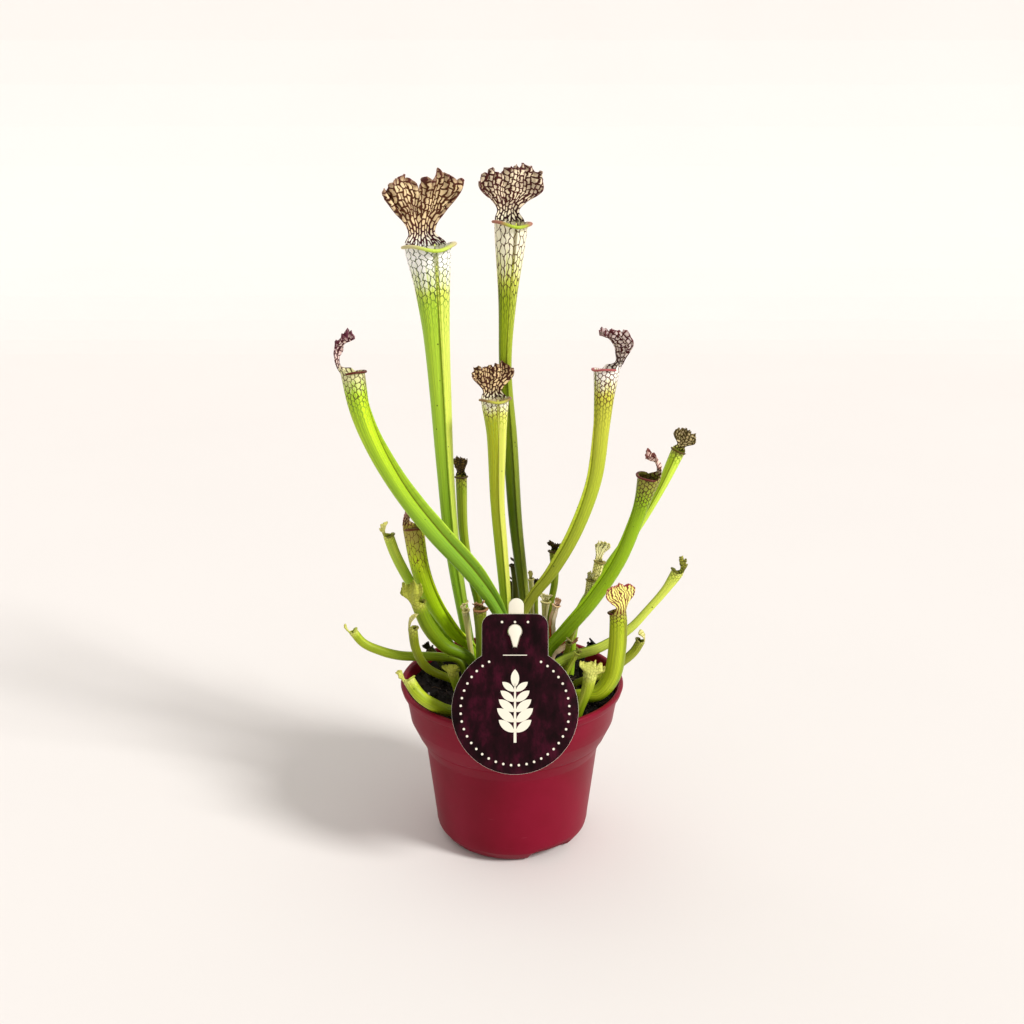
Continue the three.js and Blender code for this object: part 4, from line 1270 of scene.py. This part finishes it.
    def fibre(self) -> Material:
        """Makes the brown fibres of the peat."""
        paint = Painter("peat_fibre")
        paint.body = paint.blend(paint.noise(paint.place(), 120.0), "1e140e", "70543a")
        return paint.shade(Roughness=0.85)


@dataclass
class HangTag:
    """The tag: a disc with an upright tab, which leans back on the pot's lip and hangs on the stake's peg."""

    disc: float = 31.5
    tab: float = 33.2
    tab_top: float = 47.6
    corner: float = 6.0
    thickness: float = 0.8
    lean: float = 26.0
    centre: Point3 = (1.5, -57.07, 99.2)
    hole: float = 36.6
    peg: Point3 = (6.6, 11.0, 3.0)
    ink: float = 0.05
    ink_round: float = 0.012
    dots: int = 44
    dot: float = 0.62
    dot_ring: float = 27.0
    leaflets: int = 5
    clearance: float = 0.3
    stake_width: float = 7.6
    stake_thickness: float = 1.5
    stake_foot: Point3 = (0.8, -44.3, 53.0)
    stake_head: Point3 = (2.2, -34.2, 149.5)

    def outline(self) -> list[Point2]:
        """Gives the tag's outline, from the left of the tab down round the disc."""
        half, corner = self.tab / 2, self.corner
        join_at = degrees(acos(half / self.disc))
        return [
            *arc(0, 0, self.disc, 180 - join_at, 360 + join_at, 96),
            *arc(half - corner, self.tab_top - corner, corner, 0, 90, 10),
            *arc(-half + corner, self.tab_top - corner, corner, 90, 180, 10),
        ]

    def teardrop(self, grow: float) -> list[Point2]:
        """Gives the outline of the peg, or of its hole when grown."""
        width, height, _ = self.peg
        radius = width / 2 + grow
        low = self.hole - height / 2 - grow
        crown = arc(0, self.hole + height / 2 - width / 2, radius, -45, 225, 22)
        return [*crown, (-0.25 * radius, low), (0.25 * radius, low)]

    def stand(self, bm: BMesh, lift: float = 0.0) -> BMesh:
        """Lifts a flat shape, then stands it up in the tag's plane, leaning back."""
        bmesh.ops.translate(bm, vec=(0.0, 0.0, lift), verts=bm.verts)
        turn = Matrix.Rotation(pi / 2 - radians(self.lean), 4, "X")
        bmesh.ops.transform(bm, matrix=Matrix.Translation(self.centre) @ turn, verts=bm.verts)
        return bm

    def card(self) -> Object:
        """Models the tag's card."""
        flat = plate([self.outline(), self.teardrop(self.clearance)], self.thickness, 0.22, 1)
        bm = self.stand(flat, self.thickness)
        return finished("hang_tag", bm, [self.print_paint(), self.cream("card_edge")], "tag")

    def motif(self, ink: BMesh, points: Outline, x: float, y: float, turn: float = 0.0) -> None:
        """Cuts one printed shape and puts it in its place on the card."""
        bm = plate([points], self.ink, self.ink_round)
        spin = Matrix.Rotation(radians(turn), 3, "Z")
        bmesh.ops.rotate(bm, cent=(0, 0, 0), matrix=spin, verts=bm.verts)
        bmesh.ops.translate(bm, vec=(x, y, self.thickness + self.ink), verts=bm.verts)
        join(ink, bm)

    def leaflet(self, length: float, width: float) -> list[Point2]:
        """Gives the outline of a pointed leaflet that grows along +Y from the origin."""
        radius = (length**2 / 4 + width**2 / 4) / width
        swing = degrees(asin(length / 2 / radius))
        right = arc(width / 2 - radius, length / 2, radius, -swing, swing, 8)
        left = arc(radius - width / 2, length / 2, radius, 180 - swing, 180 + swing, 8)
        return right[:-1] + left[:-1]

    def printing(self) -> None:
        """Prints a plain sprig inside a ring of dots, with a bar on the tab."""
        ink = bmesh.new()
        dot = arc(0, 0, self.dot, 0, 330, 11)
        for k in range(self.dots):
            turn = radians(360 * k / self.dots + 4)
            if sin(turn) < 0.9:
                self.motif(ink, dot, *polar(self.dot_ring, turn))
        self.motif(ink, [(-0.7, -16.0), (0.7, -16.0), (0.45, 13.0), (-0.45, 13.0)], 0.0, 0.0)
        self.motif(ink, self.leaflet(9.0, 4.2), 0.0, 11.0)
        for k in range(self.leaflets):
            height, length = -11.0 + 5.0 * k, 11.0 - 1.1 * abs(k - 1)
            for side in (-1, 1):
                self.motif(ink, self.leaflet(length, 0.42 * length), 0.3 * side, height, -52.0 * side)
        for x in (-6.5, 0.0, 6.5):
            self.motif(ink, dot, x, 43.5)
        self.motif(ink, [(-6.0, -0.2), (6.0, -0.2), (6.0, 0.2), (-6.0, 0.2)], 0.0, 27.0)
        piece = finished("tag_print", self.stand(ink), [self.cream("cream_ink")], flat=True)

    def stake(self) -> Object:
        """Models the stake with its rounded head, and the peg that the tag hangs on."""
        foot, half = Vector(self.stake_foot), self.stake_width / 2
        run = Vector(self.stake_head) - foot
        outline = [(-half, 0.0), (half, 0.0), *arc(0, run.length - half, half, 0, 180, 20)]
        strip = plate([outline], self.stake_thickness, 0.35)
        bmesh.ops.translate(strip, vec=(0.0, 0.0, self.stake_thickness / 2), verts=strip.verts)
        lean = pi / 2 - asin(run.y / run.length)
        turn = Matrix.Rotation(atan2(run.x, run.z), 4, "Y") @ Matrix.Rotation(lean, 4, "X")
        bmesh.ops.transform(strip, matrix=Matrix.Translation(foot) @ turn, verts=strip.verts)
        join(strip, self.stand(plate([self.teardrop(0.0)], self.peg[2] + 4.0, 0.5), self.peg[2]))
        return finished("tag_stake", strip, [self.cream("cream_plastic")], "stake")

    def cream(self, name: str) -> Material:
        """Makes a cream plastic or ink."""
        paint = Painter(name)
        cloud = paint.noise(paint.place(), 60.0, 3.0)
        paint.body = paint.blend(cloud, "ece6d2", "e6e0cf")
        return paint.shade(
            Roughness=paint.step(cloud, 0.3, 0.7, 0.34, 0.44), Normal=paint.bump(cloud, 0.0001, 0.3))

    def print_paint(self) -> Material:
        """Makes the card's mottled dark burgundy print."""
        paint = Painter("burgundy_print")
        cloud = paint.noise(paint.place((1.0, 1.0, 0.4)), 160.0, 5.0, 0.62)
        streak = paint.noise(paint.place((1.0, 1.0, 0.1)), 620.0, 3.0)
        paint.body = paint.ramp(cloud, {0.34: "14080a", 0.5: "240a12", 0.68: "400e20"})
        paint.coat(paint.step(streak, 0.5, 0.75, 0.0, 0.45), "120808")
        return paint.shade(Roughness=paint.step(cloud, 0.3, 0.7, 0.3, 0.42), Specular_IOR_Level=0.05)

    def build(self) -> None:
        """Models the stake, the card and its print."""
        self.stake()
        self.card()
        self.printing()


@dataclass
class Studio:
    """A plain pale sweep, soft lights and the portrait camera."""

    camera_place: Point3 = (0.0, -0.642, 0.389)
    pitch: float = 17.7
    lens: float = 45.7
    sensor: float = 36.0
    backdrop: Colour = tint("fdf9f5")
    room_light: float = 0.66
    sweep_from: float = 1.4
    sweep_length: float = 1.4
    sweep_round: float = 0.9
    half_width: float = 4.5

    def camera(self) -> None:
        """Sets the camera up, level and looking down a little."""
        data = bpy.data.cameras.new("portrait_camera")
        data.lens = self.lens
        data.sensor_width = self.sensor
        data.clip_start = 0.01
        camera = linked("portrait_camera", data)
        camera.location = self.camera_place
        camera.rotation_euler = (radians(90 - self.pitch), 0.0, 0.0)
        bpy.context.scene.camera = camera

    def floor(self) -> None:
        """Lays a wide floor that sweeps up into a backdrop."""
        bm = bmesh.new()
        bmesh.ops.create_grid(bm, x_segments=2, y_segments=60, size=1.0)
        for vert in bm.verts:
            away = 3.0 * vert.co.y + 1.2
            rise = max(away - self.sweep_from, 0.0)
            bend = min(rise, self.sweep_length) / self.sweep_round
            height = self.sweep_round * (1 - cos(bend)) + max(rise - self.sweep_length, 0.0)
            back = min(away, self.sweep_from + self.sweep_round * sin(bend))
            vert.co = (self.half_width * vert.co.x, back, height)
        floor = linked("studio_floor", meshed("studio_floor", bm))
        paint = Painter("backdrop_paper")
        paint.body = paint.blend(paint.noise(paint.place(), 4.0), "e6e2df", "e3dfdc")
        floor.data.materials.append(paint.shade(Roughness=0.9))

    def light(self, name: str, place: Point3, spread: float, power: float, colour: Point3) -> None:
        """Sets one far and soft light.

        Args:
            name: the light's name.
            place: where it stands, seen from the plant.
            spread: how wide it looks from there, in degrees.
            power: its power in watts on a square metre.
            colour: its colour.
        """
        data = bpy.data.lights.new(name, "SUN")
        data.angle = radians(spread)
        data.energy = power
        data.color = colour
        lamp = linked(name, data)
        lamp.location = place
        lamp.rotation_euler = (-Vector(place)).to_track_quat("-Z", "Y").to_euler()

    def build(self) -> None:
        """Sets up the camera, the sweep, the lights and the room's own light."""
        self.camera()
        self.floor()
        self.light("key_light", (0.98, -0.6, 0.9), 14.0, 2.8, (1.0, 0.99, 0.97))
        self.light("back_light", (-0.5, 0.8, 0.9), 40.0, 0.3, (1.0, 1.0, 1.0))
        world = bpy.data.worlds.new("studio_room")
        world.use_nodes = True
        inputs = world.node_tree.nodes["Background"].inputs
        inputs["Color"].default_value = self.backdrop
        inputs["Strength"].default_value = self.room_light
        bpy.context.scene.world = world
        bpy.context.scene.view_settings.view_transform = "Standard"


L, M, S = Size.LARGE, Size.MEDIUM, Size.SMALL

LEAVES = (
    LeafShape("tall_left", L, Leafage.TALL, (0.36, -0.93, 0), 2.2, ((-20, 27, 80, 2.6),
        (-25.5, 27, 108, 3.2), (-32.4, 25, 157, 4.1), (-35.5, 24, 200, 4.6), (-37.3, 24, 240, 5.6),
        (-39.1, 25, 274, 7), (-40.8, 27.3, 297, 9.2), (-42.9, 30, 317, 12)), Hood(35, 15, 47, 14, 2.6, 3,
        skew=3, open_at=0.95, outline=((-1, 0.72), (-0.85, 0.84), (-0.65, 0.96), (-0.45, 1.01), (-0.28, 1),
        (-0.12, 0.93), (0, 0.86), (0.15, 0.94), (0.3, 0.97), (0.42, 1.06), (0.52, 0.97), (0.8, 0.96),
        (1, 0.88))), spout=3.6, wing=2.5, net=(30, 55)),
    LeafShape("tall_right", L, Leafage.SLIM, (0.3, -0.95, 0), 1.7, ((9, 31, 80, 2.6), (8, 30, 111, 2.8),
        (5.6, 29, 136, 3.1), (1.9, 28, 170, 3.6), (-1, 29, 215, 3.9), (-3.5, 29, 255, 3.3),
        (-2.3, 29, 290, 4.8), (-0.4, 31, 328.5, 8.6)), Hood(27, 12.5, 34, 12, 2, 3, skew=1, open_at=0.68,
        outline=((-1, 0.72), (-0.8, 0.88), (-0.56, 0.97), (-0.31, 0.86), (-0.1, 0.98), (0.1, 1),
        (0.4, 1.06), (0.62, 0.98), (0.8, 0.98), (1, 0.76))), spout=2, wing=2, net=(20, 38)),
    LeafShape("left_arch", L, Leafage.LEFT_ARCH, (1, -0.25, 0.4), 0.7, ((-4, 11, 80, 2.6),
        (-5, 9, 117, 2.9), (-9.5, 8, 128, 3), (-21.5, 5, 147, 3.5), (-41.5, 2, 172, 3.9),
        (-57.5, 0, 195, 4), (-70.3, -2, 220, 4.5), (-76.6, -3, 239, 5.2), (-79.8, -0.5, 257.5, 6)),
        Hood(24, 5, 11, 84, 1.5, 2, tilt=32, bow=-0.09), spout=0.6, wing=5.8, net=(7, 26)),
    LeafShape("middle", L, Leafage.MIDDLE, (0.25, -0.97, 0), 1.1, ((-3, 21, 80, 2.4), (-3, 19, 113, 2.7),
        (-3.5, 18, 128, 3), (-5.7, 16, 158, 3.5), (-7.7, 14.3, 186, 3.8), (-8, 11.6, 223, 5.2),
        (-8.9, 13.6, 241, 7.2)), Hood(17, 10.5, 24, 10, 1.5, 3, skew=1.5, open_at=0.75, outline=((-1, 0.76),
        (-0.7, 1.0), (-0.35, 0.9), (0, 0.97), (0.4, 1.03), (0.7, 0.92), (1, 0.78))), spout=1.4, wing=2.2,
        net=(6, 21)),
    LeafShape("right_arch", L, Leafage.RIGHT_ARCH, (-0.93, -0.5, 0.1), 0.8, ((4, 14, 80, 2.4),
        (5, 12, 118, 2.4), (10, 11, 131, 2.7), (22, 10, 148, 3.1), (34, 9, 171, 3.4), (43, 8, 199, 3.7),
        (45.9, 7.2, 227, 4.2), (47, 9, 242, 5.1), (48.3, 12, 256.5, 6.6)),
        Hood(25, 8, 20, 92, 1.8, 3, tilt=34, bow=-0.08, open_at=0.6), spout=1, wing=2.4, net=(12, 34)),
    LeafShape("right_lean", L, Leafage.GREEN_NET, (-0.9, -0.3, 0.5), 0.6, ((14, 4, 80, 2.8),
        (19, 5, 103, 3.2), (28.8, 5, 115.2, 3.6), (42.6, 5, 132.3, 3.7), (56.6, 4, 155.8, 3.6),
        (65, 3, 178.8, 3.6), (67.9, 2.4, 190, 4.3), (70.8, 2, 202.5, 6)),
        Hood(17, 5.4, 9.5, 85, 1.4, 2, bow=-0.06), spout=0.6, wing=1.8, net=(12, 30)),
    LeafShape("front_hooded", L, Leafage.FAN, (-0.62, 0.78, 0), 0.6, ((20, -13, 80, 2.8),
        (24, -14.5, 86, 3), (34, -18, 88, 3.4), (45, -20, 90.5, 4.1), (52, -20, 100, 4.6),
        (54.6, -20, 115, 4.7), (55, -19.5, 129, 4.6), (54.6, -19, 136, 4.4)),
        Hood(16, 8.6, 20, 52, 1, 3, tilt=16, open_at=0.7, crimp=0.4), spout=0.6, wing=1.6, net=(2, 12)),
    LeafShape("left_mid", L, Leafage.BROWN_NET, (0.8, -0.5, 0.1), 0.7, ((-12, 14, 80, 2.5),
        (-23, 13, 103, 3), (-31, 12, 111, 3.7), (-43, 11, 131, 4.6), (-49, 11, 149, 5),
        (-52.5, 13, 171.5, 5.6)), Hood(19, 6, 13, 118, 1.4, 2, bow=-0.05), spout=0.6, wing=2.4,
        net=(9, 26)),
    LeafShape("right_far", M, Leafage.FAR, (-0.25, -0.95, 0.1), 0.5, ((33, 29, 80, 2), (36, 29, 113, 2.4),
        (53, 30, 143, 2.6), (67.5, 30, 165, 2.6), (79.4, 28.5, 187.5, 2.7), (88.8, 28.5, 209.5, 3.7)),
        Hood(11.5, 4.8, 12.5, 8, 1.1, 2, open_at=0.6), net=(1.5, 8)),
    LeafShape("right_low", M, Leafage.LOW_GREEN, (-0.6, -0.1, 0.9), 0.5, ((12, -8, 80, 2),
        (19, -6, 97, 2.4), (31, -5, 104.5, 2.6), (47, -5, 110.2, 2.6), (62, -4, 120, 2.3),
        (72, -3, 131, 2.1), (81, -2, 142, 2.3), (87, -1, 151.3, 3.3)),
        Hood(10, 5.4, 9, 60, 0.8, 2, tilt=-12), net=(1.5, 6)),
    LeafShape("front_curl", M, Leafage.OLIVE, (-0.9, 0.1, 0.3), 0.4, ((25, -5, 80, 1.9), (35, -6, 90, 1.9),
        (50, -6, 95, 2.1), (58.5, -7, 102.5, 2.4), (64.5, -7.5, 108.5, 2.4), (68, -8, 115, 2.4)),
        Hood(8, 4, 7, 110, 0.4, 1)),
    LeafShape("left_back", M, Leafage.LIME, (0.8, -0.3, 0.4), 0.4, ((-24, 17, 80, 1.8),
        (-31.5, 19, 97, 2.1), (-44.6, 19, 119, 2.4), (-56, 18, 140, 2.8), (-62.6, 18, 154, 2.9),
        (-66.2, 18, 165, 2.9)), Hood(9, 3, 7, 55, 0.6, 1)),
    LeafShape("left_frill", M, Leafage.FRILL, (0.5, 0.8, 0.1), 0.5, ((-12, 5, 80, 2.4), (-23.5, 2, 101, 3),
        (-36, 0, 109, 3.6), (-44.5, -2, 121, 3.9), (-49.5, -3, 134, 3.7)),
        Hood(14, 7, 15, 55, 1.4, 2, open_at=0.6)),
    LeafShape("left_low", M, Leafage.YELLOW, (0.3, 0.1, 0.95), 0.3, ((-24, 9, 80, 1.9),
        (-28.5, 11, 95, 2.1), (-40, 11, 97.5, 2.4), (-61, 10, 98.7, 2.6), (-72, 9, 102.2, 2.5),
        (-80.5, 8, 107, 2.4), (-86, 8, 113.8, 2.4)), Hood(6, 2.6, 4.4, 25, 0.3, 1)),
    LeafShape("left_small", M, Leafage.OLIVE, (0.8, 0.4, 0.2), 0.4, ((-17, -10, 80, 1.9),
        (-26.5, -9, 91, 2.1), (-33.5, -10, 94.5, 2.1), (-45, -11, 101, 2.3), (-50.5, -12, 112, 2.4),
        (-52, -12, 124, 2.5)), Hood(10, 2.6, 5, 80, 0.3, 1)),
    LeafShape("front_trumpet", M, Leafage.FRILL, (0.3, 0.9, 0), 0.4, ((-27, -15, 80, 1.6),
        (-28, -16, 85, 1.6), (-29.5, -17, 93.5, 2.1), (-31, -17.5, 101.5, 2.9)),
        Hood(5.5, 5.6, 10.5, 30, 0.6, 1)),
    LeafShape("rim_leaf", M, Leafage.YELLOW, (0.3, 0.3, 0.9), 0.4, ((-18, -22, 80, 2.4),
        (-19.5, -24, 83.5, 2.5), (-31, -34, 87, 3), (-40, -39.5, 93.3, 3.2), (-47, -41, 99.5, 3.2),
        (-52.5, -38, 106.5, 3.1)), Hood(7, 5.4, 10, 25, 0.9, 1, open_at=0.6)),
    LeafShape("dark_back", M, Leafage.BROWN_HOODED, (0.1, -0.99, 0), 0.5, ((-14, 36, 80, 2),
        (-18, 36, 115, 2.4), (-24.5, 36, 145, 2.4), (-26.8, 36, 162, 2.6), (-27.6, 36, 193, 3.1)),
        Hood(10.5, 4.6, 8.4, 20, 0.9, 1)),
    LeafShape("brown_mouth", M, Leafage.FRILL_MOUTH, (0.4, -0.9, 0), 0.6, ((-17, -3, 80, 2.1),
        (-16.5, -4, 105, 2.6), (-16.7, -4, 120, 2.9), (-17, -4, 131.8, 3.6)),
        Hood(4.5, 4, 7.5, 95, 0.7, 1)),
    LeafShape("pale_lid", S, Leafage.PALE, (0.6, -0.5, 0.2), 0.3, ((-19.3, 8.3, 80, 1.3),
        (-22.5, 7.7, 104, 1.4), (-24, 5.4, 118, 1.6), (-25, 3, 128, 1.9)), Hood(6.5, 3.8, 6.5, 60, 0.4, 1)),
    LeafShape("front_lid", M, Leafage.YELLOW, (0.2, 0.95, 0), 0.5, ((34, -30, 80, 1.8),
        (35.5, -29, 86, 2.2), (39, -27, 96, 3), (40.5, -26, 103.5, 3.6)),
        Hood(8.5, 7.6, 13.5, 60, 0.9, 1, open_at=0.6)),
    LeafShape("small_right_back", S, Leafage.BROWN_HOODED, (-0.3, -0.9, 0), 0.4, ((21, 33, 80, 1.6),
        (21, 31, 117, 1.9), (23.6, 31, 134, 2), (23, 32, 151.5, 2.6)), Hood(6, 4, 8.5, 60, 0.6, 1)),
    LeafShape("striped_tall", S, Leafage.STRIPED, (0.35, -0.9, 0), 0.4, ((27, 24, 80, 1.5),
        (33, 22, 106, 1.8), (43.5, 22, 131, 2.2), (47.5, 22, 149, 2.8)), Hood(12, 4.6, 9.5, 30, 0.6, 1),
        net=(16, 34)),
    LeafShape("striped_short", S, Leafage.STRIPED, (0.3, -0.9, 0), 0.4, ((28, 14, 80, 1.5),
        (31.5, 14, 106, 1.6), (40.5, 15, 129, 2), (42.6, 15, 141, 2.4)), Hood(6, 3.6, 6, 70, 0.4, 1),
        net=(12, 26)),
    LeafShape("pale_trumpet", S, Leafage.PALE, (0.1, -0.99, 0), 0.3, ((19, 23, 80, 1.5), (17, 22, 103, 1.4),
        (18, 21, 118, 1.6), (18.5, 21, 126, 2.4)), Hood(4, 4.4, 8, 30, 0.4, 1)),
    LeafShape("serrated_tall", S, Leafage.DARK, (-0.8, -0.5, 0), 0.3, ((1, 38, 80, 1.6), (2, 38, 114, 1.9),
        (2, 38, 132, 2.1), (1, 38, 141, 2.1)), Hood(5, 3.4, 5.5, 75, 0.4, 1)),
    LeafShape("serrated_short", S, Leafage.DARK, (-0.8, -0.5, 0), 0.3, ((3, 45, 80, 1.4), (1, 45, 111, 1.6),
        (0, 45, 128, 1.7)), Hood(4, 2.8, 4.5, 75, 0.3, 1)),
    LeafShape("pale_tip", S, Leafage.PALE, (0, -1, 0), 0.2, ((14, 37, 80, 1.2), (11.5, 37, 108, 1.2),
        (11, 37, 126, 1.4), (10.5, 37, 133, 1.5)), Hood(5, 2, 2.4, 15, 0.1, 1)),
    LeafShape("dark_tip", S, Leafage.BROWN_HOODED, (-0.5, -0.9, 0), 0.3, ((17, 44, 80, 1.2),
        (14, 44, 106, 1.2), (13, 44, 128, 1.7)), Hood(4, 2.8, 4.5, 70, 0.3, 1)),
    LeafShape("dry_sheath", S, Leafage.SHEATH, (-0.3, -0.9, 0), 0.2, ((21, 16, 80, 1.4), (22, 14, 107, 1.6),
        (22, 13, 118, 1.9), (24, 13, 127, 1.9)), Hood(4, 3, 3.4, 15, 0.2, 1), crumple=0.4),
    LeafShape("curl_behind", S, Leafage.OLIVE, (-0.5, -0.8, 0.2), 0.3, ((27, 3, 80, 1.2),
        (27.5, 2, 97, 1.3), (29.5, 0.5, 105, 1.4), (30.5, -1, 111, 1.5)), Hood(4, 2.6, 4, 85, 0.3, 1)),
    LeafShape("curl_front", S, Leafage.YELLOW, (-0.5, -0.8, 0.2), 0.3, ((27, -9.5, 80, 1.1),
        (29, -10, 97, 1.2), (32, -10, 104, 1.3), (34.5, -10, 109, 1.4)), Hood(4, 2.4, 4, 85, 0.3, 1)),
    LeafShape("dead_curl", S, Leafage.DEAD, (-0.5, -0.8, 0.2), 0.3, ((38.5, 12, 80, 1.4),
        (38.5, 12, 96, 1.5), (43, 11, 104.5, 1.8)), Hood(6, 3, 4.5, 110, 0.3, 1), crumple=0.5),
    LeafShape("dry_strip", S, Leafage.DRY, (0, -0.3, 1), 0.2, ((22.5, 9, 80, 1.1), (22.5, 9, 99, 1.3),
        (26.5, 9, 103, 1.5), (31.5, 9, 106.8, 1.6)), Hood(5, 2.6, 3, 10, 0.2, 1), crumple=0.3),
    LeafShape("dark_bud", S, Leafage.DARK, (0.5, -0.8, 0.2), 0.3, ((-33, 14, 80, 1.3), (-42, 18, 95, 1.6),
        (-45.5, 19, 99, 2)), Hood(4.5, 3.4, 5, 60, 0.3, 1)),
)

LEAF_PAINT = {
    leafage: [
        leafage.value.dress(f"{leafage.name.lower()}_leaf{side}", bool(side)) for side in ("", "_throat")
    ]
    for leafage in Leafage
}


def main() -> None:
    """Builds the studio, the pot and all that stands in it."""
    logging.basicConfig(level=logging.INFO, format="%(message)s")
    noise.seed_set(NOISE_SEED)
    Studio().build()
    pot = NurseryPot()
    pot.build()
    PeatBed(pot).build()
    HangTag().build()
    for shape in LEAVES:
        PitcherLeaf(shape).build()


if __name__ == "__main__":
    main()
